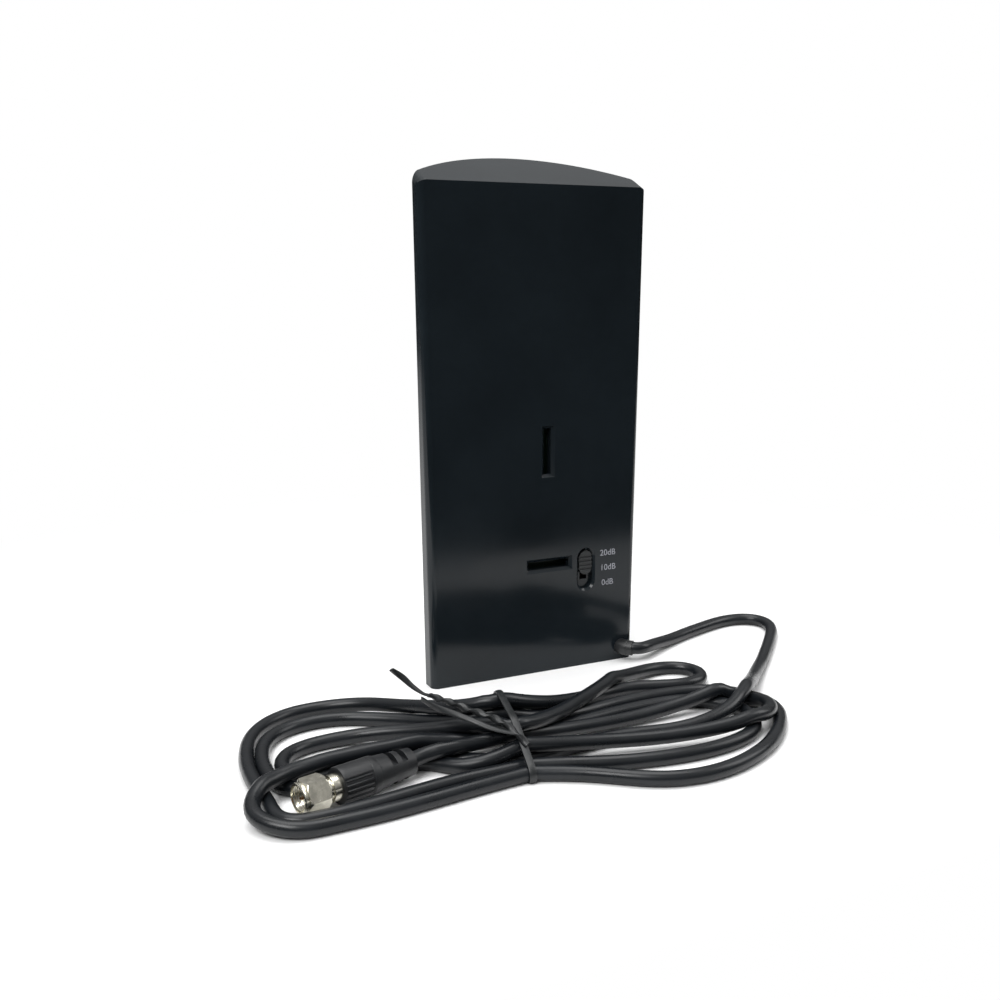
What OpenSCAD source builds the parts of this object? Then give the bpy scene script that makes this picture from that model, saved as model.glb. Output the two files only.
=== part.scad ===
// Indoor television antenna: a thin D-section panel that stands on its base, with a gain
// switch and two stand slots in its flat rear face, and a coaxial lead tied up in a hank.
// X runs along the panel, -Y is the flat rear face, +Y the curved front, +Z up.
// The origin is the centre of the panel's base.

/* [Housing] */
// Height of the flat rear face
panel_h = 208; // [190:1:240]
// Width of the rear face along its top edge
panel_top_w = 104; // [100:1:116]
// Width of the rear face along its base
panel_base_w = 98; // [94:1:100]
// Depth from the flat rear face to the crown of the front
panel_d = 24; // [22:0.5:30]
// Depth of the flat side wall at the top corners
side_d = 6; // [4:0.5:8]
// Slope of the top, rising from the rear edge to the front
top_slope = 26.6; // [10:0.2:35]
// Radius of the upright rear edges
rear_edge_r = 3.2; // [2.4:0.1:4.5]
// Radius of the two top corners
top_corner_r = 3.6; // [2.4:0.1:6]
// Wall thickness of both mouldings
wall = 2; // [1.6:0.1:2.4]
// Depth of the rear cover's rim, from the rear face to the seam
rim_d = 3.4; // [3:0.1:5]
// Thickness of the tongue that keys the cover into the shell
tongue_t = 1.1; // [0.8:0.1:1.4]
// Reach of the tongue past the seam
tongue_reach = 2.8; // [2.2:0.1:3.4]
// Height of the snap beads on the tongue
bead_h = 0.5; // [0.3:0.1:0.7]
// Length of each snap bead
bead_len = 12; // [8:1:16]
// Clearance between the tongue and the shell
tongue_clear = 0.15; // [0.1:0.05:0.25]

/* [Stand slots] */
// Length of each slot at the mouth of its chamfer
slot_len = 22.3; // [18:0.1:26]
// Width of each slot at the mouth of its chamfer
slot_w = 6.2; // [5.2:0.1:7]
// Width of the chamfer round each slot
slot_chamfer = 1.3; // [0.8:0.1:1.5]
// Height of the skirt behind each slot
slot_skirt_h = 2.6; // [1.6:0.1:3.2]
// Thickness of the skirt's wall
slot_skirt_t = 1.1; // [0.8:0.1:1.2]
// Sideways place of the upright slot
upright_slot_x = 5.4; // [0:0.1:10]
// Height of the upright slot's centre
upright_slot_z = 98; // [94:1:120]
// Sideways place of the level slot
level_slot_x = 6.3; // [0:0.1:6.6]
// Height of the level slot's centre
level_slot_z = 48.2; // [44:0.1:52]

/* [Gain switch] */
// Sideways place of the switch
switch_x = 24.4; // [24.4:0.1:28]
// Height of the middle of the switch's travel
switch_z = 44.2; // [42:0.1:48]
// Travel of the knob over its three positions
switch_travel = 6; // [4:0.1:6.4]
// Width of the knob
knob_w = 6.4; // [5.6:0.1:6.8]
// Height of the knob
knob_h = 10.8; // [9.6:0.1:12]
// Gap round the knob in its well
knob_gap = 0.5; // [0.3:0.1:0.7]
// Chamfer round the mouth of the well
well_chamfer = 0.9; // [0.5:0.1:1.2]
// Depth of the well below the rear face
well_d = 2.8; // [2.6:0.1:3]
// Thickness of the well's floor
well_floor_t = 0.8; // [0.6:0.1:1]
// How far the knob's face lies below the rear face
knob_sink = 0.4; // [0.2:0.1:0.6]
// Number of grip grooves across the knob
knob_grooves = 4; // [2:1:5]
// Width of each grip groove
knob_groove_w = 0.9; // [0.5:0.1:1]
// Depth of each grip groove
knob_groove_d = 0.5; // [0.2:0.1:0.7]
// Width of the knob's stem
stem_w = 3; // [2.4:0.1:3.4]
// Height of the knob's stem
stem_h = 3.6; // [3:0.1:4]
// Clearance of the stem in its slots
stem_clear = 0.2; // [0.15:0.05:0.3]
// Thickness of the switch's steel frame
frame_t = 0.4; // [0.3:0.1:0.6]
// Thickness of the switch's insulating base
switch_base_t = 1; // [0.8:0.1:1.2]
// Thickness of the sliding contact carrier
wiper_t = 1; // [0.8:0.1:1.1]
// Diameter of a switch pin
switch_pin_d = 0.8; // [0.6:0.1:1]
// Reach of the pins past the board
switch_pin_reach = 1.2; // [0.8:0.1:1.6]

/* [Boards] */
// Gap from the rear cover's inner face to the boards
board_gap = 5.4; // [5.2:0.1:6]
// Thickness of both boards
board_t = 1.6; // [1.2:0.1:1.8]
// Clearance from a board's edge to the wall beside it
board_clear = 1; // [0.6:0.1:1.6]
// Height of the amplifier board's lower edge above the base
amp_z0 = 10; // [9:0.5:12]
// Height of the amplifier board
amp_h = 58; // [56:1:62]
// Height of the radiator board's lower edge above the base
radiator_z0 = 78; // [76:1:84]
// Gap from the radiator board's top edge to the top of the rear face
radiator_top_gap = 16; // [12:1:24]
// Distance of the mounting holes from a board's edges
board_hole_inset = 6; // [5:0.5:8]
// Outer diameter of the bosses that carry the boards
boss_d = 6; // [5:0.2:7]
// Diameter of the board screws' shank
screw_d = 2.2; // [1.8:0.1:2.6]
// Length of the board screws under the head
screw_len = 5.6; // [4.6:0.2:6]
// Diameter of the board screws' head
screw_head_d = 4.2; // [3.6:0.1:5]
// Thickness of the board screws' head
screw_head_t = 1.4; // [1:0.1:1.8]
// Radial clearance of a screw in its pilot hole and board
screw_clear = 0.1; // [0.05:0.05:0.2]
// Thickness of the radiator sheets
radiator_t = 0.4; // [0.2:0.1:0.6]
// Half width of a radiator at its outer end
radiator_wide = 34; // [28:1:36]
// Half width of a radiator at its feed point
radiator_narrow = 4; // [3:0.5:6]
// Gap between the two radiators' feed points
feed_gap = 8; // [6:0.5:10]
// Gap from a radiator's outer end to the bosses beyond it
radiator_margin = 1.5; // [1:0.5:6]
// Width of the balun core
balun_w = 14; // [12:0.5:16]
// Height of the balun core
balun_h = 13; // [11:0.5:16]
// Depth of the balun core
balun_d = 7.5; // [6.5:0.5:8]
// Diameter of the balun core's two holes
balun_hole_d = 3.6; // [3:0.1:4]
// Diameter of the balun's wires
wire_d = 0.8; // [0.6:0.1:1]
// Width of the shield can
can_w = 34; // [28:1:36]
// Height of the shield can
can_h = 26; // [22:1:28]
// Depth of the shield can
can_d = 6; // [5:0.5:7]
// Sheet thickness of the shield can
can_t = 0.5; // [0.3:0.1:0.6]
// Diameter of the two filter capacitors
cap_d = 6.3; // [5:0.1:7]
// Length of the two filter capacitors
cap_len = 7; // [5:0.5:8]

/* [Lead] */
// Diameter of the coaxial lead
lead_d = 5.5; // [5:0.1:5.8]
// Distance of the lead's exit from the side of the panel
exit_inset = 6; // [5.8:0.1:7]
// Height of the lead's exit above the base
exit_z = 6; // [6:0.1:7]
// Wall thickness of the strain relief round the lead
relief_t = 0.6; // [0.4:0.1:0.7]
// How far the strain relief's collar stands out past its sleeve
relief_collar = 0.5; // [0.3:0.1:0.5]
// Thickness of the strain relief's inner collar
relief_collar_t = 1.2; // [0.8:0.1:1.6]
// Radius of the strain relief's bend
relief_bend_r = 5; // [4:0.1:6]
// Length of the strain relief past its bend
relief_len = 2.4; // [1.6:0.1:4]
// Angle by which the strain relief turns towards the side
relief_turn = 45; // [30:1:60]
// Diameter of the lead's foam core
core_d = 3.6; // [3:0.1:3.8]
// Diameter of the lead's centre wire
centre_d = 0.9; // [0.7:0.1:1]
// Diameter of the twisted braid
braid_d = 1.6; // [1.2:0.1:2]
// Height of the hank
hank_h = 14; // [12:0.5:18]
// Height of the hank where the tie gathers it
waist_h = 21; // [19:0.5:26]
// Width of the twist tie's ribbon
tie_w = 3; // [2:0.2:5]
// Thickness of the twist tie's ribbon
tie_t = 0.6; // [0.4:0.1:0.9]
// Thickness of the twist tie's two ends
tie_end_d = 1.8; // [1.2:0.1:2.4]

/* [Plug] */
// Width of the coupling nut across its flats
nut_af = 11; // [10.5:0.1:11.1]
// Length of the coupling nut
nut_len = 9.6; // [9:0.1:11]
// Diameter of the coupling nut's thread
nut_bore_d = 9; // [8.6:0.1:9.2]
// Thickness of the coupling nut's back wall
nut_back_t = 2; // [1.6:0.1:2.4]
// Length of the round lip at the nut's mouth
nut_lip = 1.4; // [1:0.1:2]
// Radial clearance between the nut and the ferrule's neck
nut_clear = 0.06; // [0.03:0.01:0.09]
// End clearance of the nut along the ferrule
nut_end_clear = 0.15; // [0.05:0.05:0.25]
// Diameter of the ferrule's neck inside the nut
neck_d = 6.8; // [6.4:0.1:7]
// Thickness of the ferrule's flange that holds the nut
flange_t = 1; // [0.8:0.1:1.2]
// Diameter of the ferrule behind the nut
ferrule_d = 9.2; // [8.8:0.1:9.8]
// Length of the ferrule behind the nut
ferrule_len = 4.8; // [4:0.1:6]
// Diameter of the plug's insulator
insulator_d = 4.8; // [4.4:0.1:5.2]
// Diameter of the plug's centre pin
pin_d = 1; // [0.8:0.1:1.2]
// How far the pin's tip lies inside the nut's mouth
pin_sink = 0.8; // [0.4:0.1:2]
// Diameter of the plug's ribbed collar
collar_d = 12.8; // [12.8:0.1:14]
// Length of the plug's ribbed collar
collar_len = 14.4; // [12:0.2:18]
// Width of a groove between the collar's ribs
collar_groove_w = 0.9; // [0.5:0.1:1.2]
// Depth of a groove between the collar's ribs
collar_groove_d = 0.5; // [0.3:0.1:0.8]
// Diameter of the plug's boot where it meets the collar
boot_d = 12; // [11:0.1:12.6]
// Diameter of the plug's boot where the lead leaves it
boot_end_d = 9.6; // [8.6:0.1:10.6]
// Length of the plug's boot
boot_len = 15; // [13:0.2:18]
// Width of the cuts that let the boot bend
boot_cut_w = 2.2; // [1.4:0.1:2.4]
// Depth of the cuts that let the boot bend
boot_cut_d = 3; // [2:0.1:3.2]

/* [Hidden] */
$fn = 48;

// Cuts run this far past the faces that they open.
past = 1;
// A rounding stands this far inside the faces it blends, so that it crosses them cleanly.
kiss = 0.01;

// Housing
rear_y = -panel_d / 2;
front_y = panel_d / 2;
seam_y = rear_y + rim_d;
arc_half = panel_top_w / 2;
arc_rise = panel_d - side_d;
arc_r = (arc_half * arc_half + arc_rise * arc_rise) / (2 * arc_rise);
arc_y = front_y - arc_r;
lean = atan((panel_top_w - panel_base_w) / 2 / panel_h);
form_h = panel_h + panel_d * tan(top_slope);
form_w = panel_top_w + 2 * past;
key_in = wall + tongue_clear + tongue_t;
bead_out = bead_h + tongue_clear;
bead_y = seam_y + tongue_reach / 2;
bead_w = 0.9;
bead_levels = [0.25, 0.5, 0.75];
bead_across = [-0.28, 0.28];

// Boards
board_y0 = rear_y + wall + board_gap;
board_y1 = board_y0 + board_t;
inner_arc_r = arc_r - wall;
arc_board_half = sqrt(pow(inner_arc_r, 2) - pow(board_y1 + board_clear - arc_y, 2));
wall_board_half = panel_base_w / 2 - wall - board_clear;
board_half = min(arc_board_half, wall_board_half);
radiator_z1 = panel_h - radiator_top_gap;
amp_z1 = amp_z0 + amp_h;
hole_x = board_half - board_hole_inset;
radiator_holes = [for (x = [-hole_x, hole_x], z = [radiator_z0 + board_hole_inset,
    radiator_z1 - board_hole_inset]) [x, z]];
amp_holes = [for (x = [-hole_x, hole_x], z = [amp_z0 + board_hole_inset,
    amp_z1 - board_hole_inset]) [x, z]];
feed_z = (radiator_z0 + radiator_z1) / 2;
balun_y = board_y1 + radiator_t;
can_x = -9;
can_z = amp_z0 + amp_h / 2;
cap_x = 2;
cap_gap = 3;
chip_size = [3.2, 0.9, 1.8];
chip_places = [[-24, 20], [-18, 20], [-12, 20], [-24, 30], [-18, 30], [-12, 26], [6, 26], [12, 26],
    [-28, 56], [-22, 56], [-16, 60], [34, 34], [34, 40], [34, 46]];

// Gain switch
well_w = knob_w + 2 * knob_gap;
well_h = knob_h + switch_travel + 2 * knob_gap;
knob_z = switch_z + switch_travel / 2;
knob_y0 = rear_y + knob_sink;
well_y = rear_y + well_d;
knob_lift = 0.2;
knob_y1 = well_y - knob_lift;
well_t = 1;
frame_w = well_w + 2 * well_t;
frame_h = well_h + 2 * well_t;
frame_gap = 0.2;
frame_y = well_y + well_floor_t + frame_gap;
stem_slot_w = stem_w + 2 * stem_clear;
stem_slot_h = stem_h + switch_travel + 2 * stem_clear;
base_y = board_y0 - switch_base_t;
wiper_y1 = base_y - 0.1;
wiper_y0 = wiper_y1 - wiper_t;
wiper_w = 5.4;
wiper_h = 5.2;
pin_pitch = 2.54;
switch_pin_x = 2.2;

// Lead
relief_r = lead_d / 2 + relief_t;
relief_step = 0.2;
exit_x = min(panel_base_w, panel_top_w) / 2 - exit_inset;
exit_at = [exit_x, rear_y, exit_z];
relief_dir = [sin(relief_turn), -cos(relief_turn), 0];
bend_end = exit_at + relief_bend_r * [1 - cos(relief_turn), -sin(relief_turn), 0];
relief_end = bend_end + relief_len * relief_dir;
jacket_end_y = rear_y + wall + relief_collar_t + 0.8;
core_end_y = jacket_end_y + 1.4;
pad_inset = 4;
signal_pad = [board_half - pad_inset, board_y0 - centre_d / 2, amp_z0 + pad_inset - 1];
ground_pad = [board_half - 3 * pad_inset, board_y0 - braid_d / 2, amp_z0 + pad_inset - 2];
lead_rest = lead_d / 2;
// Route of the lead along its centre, from inside the relief to the hank
lead_route = concat([[exit_x, jacket_end_y, exit_z]],
    [for (turn = [0 : relief_turn / 4 : relief_turn])
        exit_at + relief_bend_r * [1 - cos(turn), -sin(turn), 0]],
    [relief_end, relief_end + [3.2, -1.2, -0.1]],
    [for (p = [[54, -16.8, 2.7], [61, -13, 1.8], [70, -8.3, 0.7], [83, -2.4, 0], [97, 2.3, 0],
        [110, 6.3, 0], [120, 7.2, 0], [127.5, 5, 0], [131.8, -0.5, 0], [131, -8, 0],
        [127, -14.5, 0], [119, -23.5, 0], [110, -33, 0], [102, -41, 0], [94, -49, 0],
        [87, -56, 0.2], [78, -65, 1.8], [70, -73, 4.7], [62, -81, 5.6]]) p + [0, 0, lead_rest]]);

// Hank: places and radii in its own frame, along and across the folded runs
hank_at = [-48, -81, 0];
hank_turn = -7;
waist_front = [0, -16, 14];
waist_back = [0, 15, 14];
left_bends = [[-70, 32, 24], [-72, -18, 25]];
right_bends = [[84, 34, 21], [86, 0, 27], [56, -22, 27]];
tie_back = 28;
tie_front = -29;
// The tie's twisted neck and its two loose ends, on top of the hank
tie_neck = [[0, -12, 0], [-5, -3, 0], [-12, 8, 0]];
tie_end_a = [[-12, 8, 0], [-22, 20, 0.6], [-30, 23, 6], [-38, 25, 13.6]];
tie_end_b = [[-12, 8, 0], [-15, 17, 0], [-23, 25, 0.2]];

// Plug: its axis lies level, clear of the surface it rests on
plug_at = [-130.3, -98.8, collar_d / 2];
plug_turn = 15;
nut_corner_d = nut_af / cos(30);
ferrule_x = nut_len + nut_end_clear;
collar_x = ferrule_x + ferrule_len;
boot_x = collar_x + collar_len;
plug_len = boot_x + boot_len;
flange_x = nut_len - nut_back_t - nut_end_clear - flange_t;
flange_d = nut_bore_d - 0.6;
pocket_r = 8.5;
pocket_inset = 3;
pocket_past = 2;
tail_end = 57;
plug_dir = [cos(plug_turn), sin(plug_turn), 0];
tail_route = [for (s = [plug_len, (plug_len + tail_end) / 2, tail_end]) plug_at + s * plug_dir];

// A round bar of diameter d from p to q
module rod(p, q, d) {
    v = q - p;
    translate(p) rotate([0, acos(v[2] / norm(v)), atan2(v[1], v[0])]) cylinder(d = d, h = norm(v));
}

function unit(v) = v / norm(v);
function heading(route, i) = unit(route[min(i + 1, len(route) - 1)] - route[max(i - 1, 0)]);
function ring_at(centre, along, up, d, sides) = let (
        across = unit(cross(along, up)),
        upward = cross(across, along))
    [for (k = [0 : sides - 1]) centre + d / 2 * (cos(360 * k / sides) * across
        + sin(360 * k / sides) * upward)];

// A tube of diameter d swept along the route's points, which never run along up
module swept_tube(route, d, up = [0, 0, 1], sides = 8) {
    last = len(route) - 1;
    points = [for (i = [0 : last]) each ring_at(route[i], heading(route, i), up, d, sides)];
    walls = [for (i = [0 : last - 1], k = [0 : sides - 1])
        [i * sides + k, i * sides + (k + 1) % sides,
        (i + 1) * sides + (k + 1) % sides, (i + 1) * sides + k]];
    start_cap = [for (k = [sides - 1 : -1 : 0]) k];
    end_cap = [for (k = [0 : sides - 1]) last * sides + k];
    polyhedron(points = points, faces = concat([start_cap], walls, [end_cap]));
}

// Rear-face frame: x and z stay, and +z of the child points into the panel
module on_rear_face(x, z, y = rear_y) {
    translate([x, y, z]) rotate([-90, 0, 0]) children();
}

// A bar with round ends, l long and w wide over its ends, h high from the plane z = 0
module obround(l, w, h) {
    translate([0, -(l - w) / 2, 0]) cylinder(d = w, h = h);
    translate([0, (l - w) / 2, 0]) cylinder(d = w, h = h);
    translate([-w / 2, -(l - w) / 2, 0]) cube([w, l - w, h]);
}

// The chamfered mouth of an obround opening, from full size at z = 0 down to c inside it
module obround_chamfer(l, w, c) {
    straight = l - w;
    for (y = [-straight / 2, straight / 2])
        translate([0, y, -past]) cylinder(r1 = w / 2 + past, r2 = w / 2 - c, h = c + past);
    translate([0, straight / 2, 0]) rotate([90, 0, 0]) linear_extrude(straight)
        polygon([[-w / 2 - past, -past], [w / 2 + past, -past], [w / 2 - c, c], [c - w / 2, c]]);
}

// One side of the panel and its rounded rear edge, as a leaning prism set in by e,
// and by back from the rear face
module side_prism(e, back) {
    r = max(rear_edge_r - e, 0.6);
    x = e + r - kiss;
    y = rear_y + back + r - kiss;
    translate([-panel_base_w / 2, 0, 0]) rotate([0, -lean, 0]) translate([0, 0, -panel_d])
        linear_extrude(form_h + 2 * panel_d) {
            translate([x, y]) circle(r);
            translate([e, y]) square([form_w, panel_d]);
            translate([x, rear_y]) square([form_w, panel_d]);
        }
}

// One top corner, rounded along the slope, as a prism that follows the sloping top
module corner_prism(e) {
    r = max(top_corner_r - e, 0.6);
    fall = asin(sin(lean) * cos(top_slope));
    x = e + r - kiss;
    w = kiss - (e + r + x * sin(fall)) / cos(fall);
    translate([-panel_base_w / 2, 0, 0]) rotate([0, -lean, 0])
        translate([0, rear_y, panel_h / cos(lean)]) rotate([top_slope, 0, 0])
            rotate([90, 0, 0]) linear_extrude(2 * form_h, center = true) {
                translate([x, w]) circle(r);
                translate([-past, w - 2 * form_h]) square([form_w + past, 2 * form_h]);
                translate([x, w - form_h]) square([form_w, form_h + r + 2 * past]);
            }
}

// The level base, the flat rear face and the sloping top, as a prism across the panel
module slope_prism(e, back) {
    y0 = rear_y + back;
    y1 = front_y + past;
    top0 = panel_h - e / cos(top_slope) + back * tan(top_slope);
    top1 = top0 + (y1 - y0) * tan(top_slope);
    translate([-form_w / 2, 0, 0]) rotate([90, 0, 90]) linear_extrude(form_w)
        polygon([[y0, e], [y1, e], [y1, top1], [y0, top0]]);
}

// The whole outer form of the panel, set in by e, and by back from the rear face
module panel_form(e, back) {
    intersection() {
        slope_prism(e, back);
        translate([0, arc_y, -past]) cylinder(r = arc_r - e, h = form_h + 2 * past, $fn = 200);
        side_prism(e, back);
        mirror([1, 0, 0]) side_prism(e, back);
        corner_prism(e);
        mirror([1, 0, 0]) corner_prism(e);
    }
}

// A slab of the panel's space from y0 to y1
module slab(y0, y1) {
    translate([-form_w / 2, y0, -past]) cube([form_w, y1 - y0, form_h + 2 * past]);
}

// Blocks round the rim where the snap beads stand, grown by grow
module bead_blocks(grow) {
    length = bead_len + 2 * grow;
    for (level = bead_levels)
        translate([-form_w / 2, bead_y - bead_w / 2 - grow, panel_h * level - length / 2])
            cube([form_w, bead_w + 2 * grow, length]);
    for (side = bead_across)
        translate([panel_base_w * side - length / 2, bead_y - bead_w / 2 - grow, -past])
            cube([length, bead_w + 2 * grow, form_h + 2 * past]);
}

// Bosses that carry one board, trimmed by the inside of the wall
module bosses(places) {
    intersection() {
        panel_form(wall / 2, wall);
        for (p = places) translate([p[0], board_y1, p[1]]) rotate([-90, 0, 0])
            cylinder(d = boss_d, h = panel_d);
    }
}

module pilot_holes(places) {
    for (p = places) translate([p[0], board_y1 - past, p[1]]) rotate([-90, 0, 0])
        cylinder(r = screw_d / 2 + screw_clear, h = screw_len - board_t + past, $fn = 20);
}

module front_shell() {
    color("#101314") difference() {
        union() {
            difference() {
                panel_form(0, 0);
                slab(rear_y - past, seam_y);
                panel_form(wall, wall);
            }
            bosses(radiator_holes);
            bosses(amp_holes);
        }
        pilot_holes(radiator_holes);
        pilot_holes(amp_holes);
        intersection() {
            panel_form(wall - bead_out, wall);
            bead_blocks(tongue_clear);
            slab(seam_y, front_y);
        }
    }
}

// The rim and the tongue that keys into the shell, round a hollow set in behind the tongue
module cover_walls() {
    difference() {
        union() {
            intersection() {
                panel_form(0, 0);
                slab(rear_y - past, seam_y);
            }
            intersection() {
                panel_form(wall + tongue_clear, wall);
                slab(seam_y - rim_d / 3, seam_y + tongue_reach);
            }
            intersection() {
                panel_form(wall - bead_h, wall);
                bead_blocks(0);
            }
        }
        panel_form(key_in, wall);
        on_rear_face(exit_x, exit_z, rear_y + wall)
            cylinder(r = relief_r + relief_collar + tongue_clear, h = panel_d);
    }
}

// The sloping sides of a slot's mouth along one of its two widths, long enough for the other
module slot_mouth_sides(across, length) {
    linear_extrude(length + 2 * past, center = true)
        polygon([[-across / 2 - past, -past], [across / 2 + past, -past],
            [across / 2 - slot_chamfer, slot_chamfer], [slot_chamfer - across / 2, slot_chamfer]]);
}

// A centred block from the plane z = 0
module slot_block(l, w, h) {
    translate([-w / 2, -l / 2, 0]) cube([w, l, h]);
}

module stand_slot() {
    intersection() {
        rotate([90, 0, 0]) slot_mouth_sides(slot_w, slot_len);
        rotate([90, 0, 90]) slot_mouth_sides(slot_len, slot_w);
    }
    slot_block(slot_len - 2 * slot_chamfer, slot_w - 2 * slot_chamfer, wall + slot_skirt_h + past);
}

module stand_skirt() {
    grow = 2 * slot_skirt_t - 2 * slot_chamfer;
    slot_block(slot_len + grow, slot_w + grow, wall / 2 + slot_skirt_h);
}

module rear_cover() {
    root_y = rear_y + wall / 2;
    color("#14181a") difference() {
        union() {
            cover_walls();
            on_rear_face(upright_slot_x, upright_slot_z, root_y) stand_skirt();
            on_rear_face(level_slot_x, level_slot_z, root_y) rotate([0, 0, 90]) stand_skirt();
            on_rear_face(switch_x, switch_z, root_y)
                obround(well_h + 2 * well_t, well_w + 2 * well_t, well_d + well_floor_t - wall / 2);
        }
        on_rear_face(upright_slot_x, upright_slot_z) stand_slot();
        on_rear_face(level_slot_x, level_slot_z) rotate([0, 0, 90]) stand_slot();
        on_rear_face(switch_x, switch_z) {
            obround_chamfer(well_h + 2 * well_chamfer, well_w + 2 * well_chamfer, well_chamfer);
            obround(well_h, well_w, well_d);
            translate([-stem_slot_w / 2, -stem_slot_h / 2, 0])
                cube([stem_slot_w, stem_slot_h, well_d + well_floor_t + past]);
        }
        on_rear_face(exit_x, exit_z, rear_y - past) cylinder(r = relief_r, h = wall + 2 * past);
    }
}

module board(z0, z1, places) {
    difference() {
        translate([-board_half, board_y0, z0]) cube([2 * board_half, board_t, z1 - z0]);
        for (p = places) translate([p[0], board_y0 - past, p[1]]) rotate([-90, 0, 0])
            cylinder(r = screw_d / 2 + screw_clear, h = board_t + 2 * past, $fn = 20);
    }
}

module radiator_board() {
    color("#2f6b3c") board(radiator_z0, radiator_z1, radiator_holes);
}

module amp_board() {
    color("#2f6b3c") difference() {
        board(amp_z0, amp_z1, amp_holes);
        for (z = [-1 : 1], x = [-1, 1])
            translate([switch_x + x * switch_pin_x, board_y0 - past, switch_z + z * pin_pitch])
                rotate([-90, 0, 0]) cylinder(d = switch_pin_d, h = board_t + 2 * past, $fn = 16);
    }
}

// One half of the bow-tie, with the slot that lengthens its path
module bow_half() {
    reach = radiator_z1 - board_hole_inset - boss_d / 2 - radiator_margin - feed_z - feed_gap / 2;
    slot_z0 = reach * 0.45;
    slot_z1 = reach * 0.8;
    slot_half = radiator_wide * 0.3;
    rotate([90, 0, 0]) translate([0, 0, -radiator_t]) linear_extrude(radiator_t) difference() {
        polygon([[-radiator_narrow, 0], [radiator_narrow, 0], [radiator_wide, reach],
            [-radiator_wide, reach]]);
        polygon([[-slot_half / 2, slot_z0], [slot_half / 2, slot_z0], [slot_half, slot_z1],
            [-slot_half, slot_z1]]);
    }
}

module upper_radiator() {
    color("#b9a36a") translate([0, board_y1, feed_z + feed_gap / 2]) bow_half();
}

module lower_radiator() {
    color("#b9a36a") translate([0, board_y1, feed_z - feed_gap / 2]) mirror([0, 0, 1]) bow_half();
}

module balun_core() {
    color("#3a3a3c") translate([0, balun_y, feed_z]) difference() {
        translate([-balun_w / 2, 0, -balun_h / 2]) cube([balun_w, balun_d, balun_h]);
        for (x = [-1, 1]) translate([x * balun_w / 4, balun_d / 2, -balun_h / 2 - past])
            cylinder(d = balun_hole_d, h = balun_h + 2 * past);
    }
}

// Two enamelled wires: through the core, round its ends and down to the amplifier board
module balun_wires() {
    wire_y = balun_y + balun_d / 2;
    over = balun_h / 2 + 3;
    color("#a8552c") for (x = [-1, 1]) {
        leg = [x * balun_w / 4, wire_y, feed_z];
        foot = [x * 3 * wire_d, wire_y, amp_z1 - board_hole_inset];
        swept_tube([leg + [0, wire_d - balun_d / 2, over - 1], leg + [0, -1, over],
            leg + [0, 0, over - 1], leg - [0, 0, over], foot, foot - [0, 1, 1],
            [foot[0], board_y1, foot[2] - 1]], wire_d, [1, 0, 0]);
    }
}

module shield_can() {
    color("#b6b9bd") translate([can_x, board_y1, can_z]) difference() {
        translate([-can_w / 2, 0, -can_h / 2]) cube([can_w, can_d, can_h]);
        translate([can_t - can_w / 2, -past, can_t - can_h / 2])
            cube([can_w - 2 * can_t, can_d - can_t + past, can_h - 2 * can_t]);
    }
}

module filter_caps() {
    color("#26303f") for (i = [0, 1])
        translate([cap_x + i * (cap_d + cap_gap), board_y1, amp_z0 + cap_d])
            rotate([-90, 0, 0]) cylinder(d = cap_d, h = cap_len);
}

module chip_parts() {
    color("#2a2a2c") for (p = chip_places)
        translate([p[0] - chip_size[0] / 2, board_y0 - chip_size[1], p[1] - chip_size[2] / 2])
            cube(chip_size);
}

module switch_frame() {
    color("#a9adb1") translate([switch_x, 0, switch_z]) difference() {
        translate([-frame_w / 2, frame_y, -frame_h / 2]) cube([frame_w, board_y0 - frame_y, frame_h]);
        translate([frame_t - frame_w / 2, frame_y + frame_t, frame_t - frame_h / 2])
            cube([frame_w - 2 * frame_t, board_y0 - frame_y, frame_h - 2 * frame_t]);
        translate([-stem_slot_w / 2, frame_y - past, -stem_slot_h / 2])
            cube([stem_slot_w, frame_t + 2 * past, stem_slot_h]);
    }
}

module switch_base() {
    color("#6b4a2a") translate([switch_x, base_y, switch_z]) difference() {
        translate([frame_t - frame_w / 2, 0, frame_t - frame_h / 2])
            cube([frame_w - 2 * frame_t, switch_base_t, frame_h - 2 * frame_t]);
        for (z = [-1 : 1], x = [-1, 1]) translate([x * switch_pin_x, -past, z * pin_pitch])
            rotate([-90, 0, 0])
                cylinder(d = switch_pin_d, h = switch_base_t + 2 * past, $fn = 16);
    }
}

module switch_pins() {
    color("#c9cbcc") for (z = [-1 : 1], x = [-1, 1])
        translate([switch_x + x * switch_pin_x, base_y, switch_z + z * pin_pitch])
            rotate([-90, 0, 0])
                cylinder(d = switch_pin_d, h = switch_base_t + board_t + switch_pin_reach, $fn = 16);
}

module switch_wiper() {
    color("#c7a560") translate([switch_x - wiper_w / 2, wiper_y0, knob_z - wiper_h / 2])
        cube([wiper_w, wiper_t, wiper_h]);
}

module switch_knob() {
    pitch = knob_h / (knob_grooves + 2);
    color("#1b1d20") translate([switch_x, 0, knob_z]) {
        difference() {
            on_rear_face(0, 0, knob_y0) obround(knob_h, knob_w, knob_y1 - knob_y0);
            for (i = [0 : knob_grooves - 1])
                translate([-knob_w / 2 - past, knob_y0 - past,
                        (i - (knob_grooves - 1) / 2) * pitch - knob_groove_w / 2])
                    cube([knob_w + 2 * past, knob_groove_d + past, knob_groove_w]);
        }
        translate([-stem_w / 2, knob_y1, -stem_h / 2]) cube([stem_w, wiper_y0 - knob_y1, stem_h]);
    }
}

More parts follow.
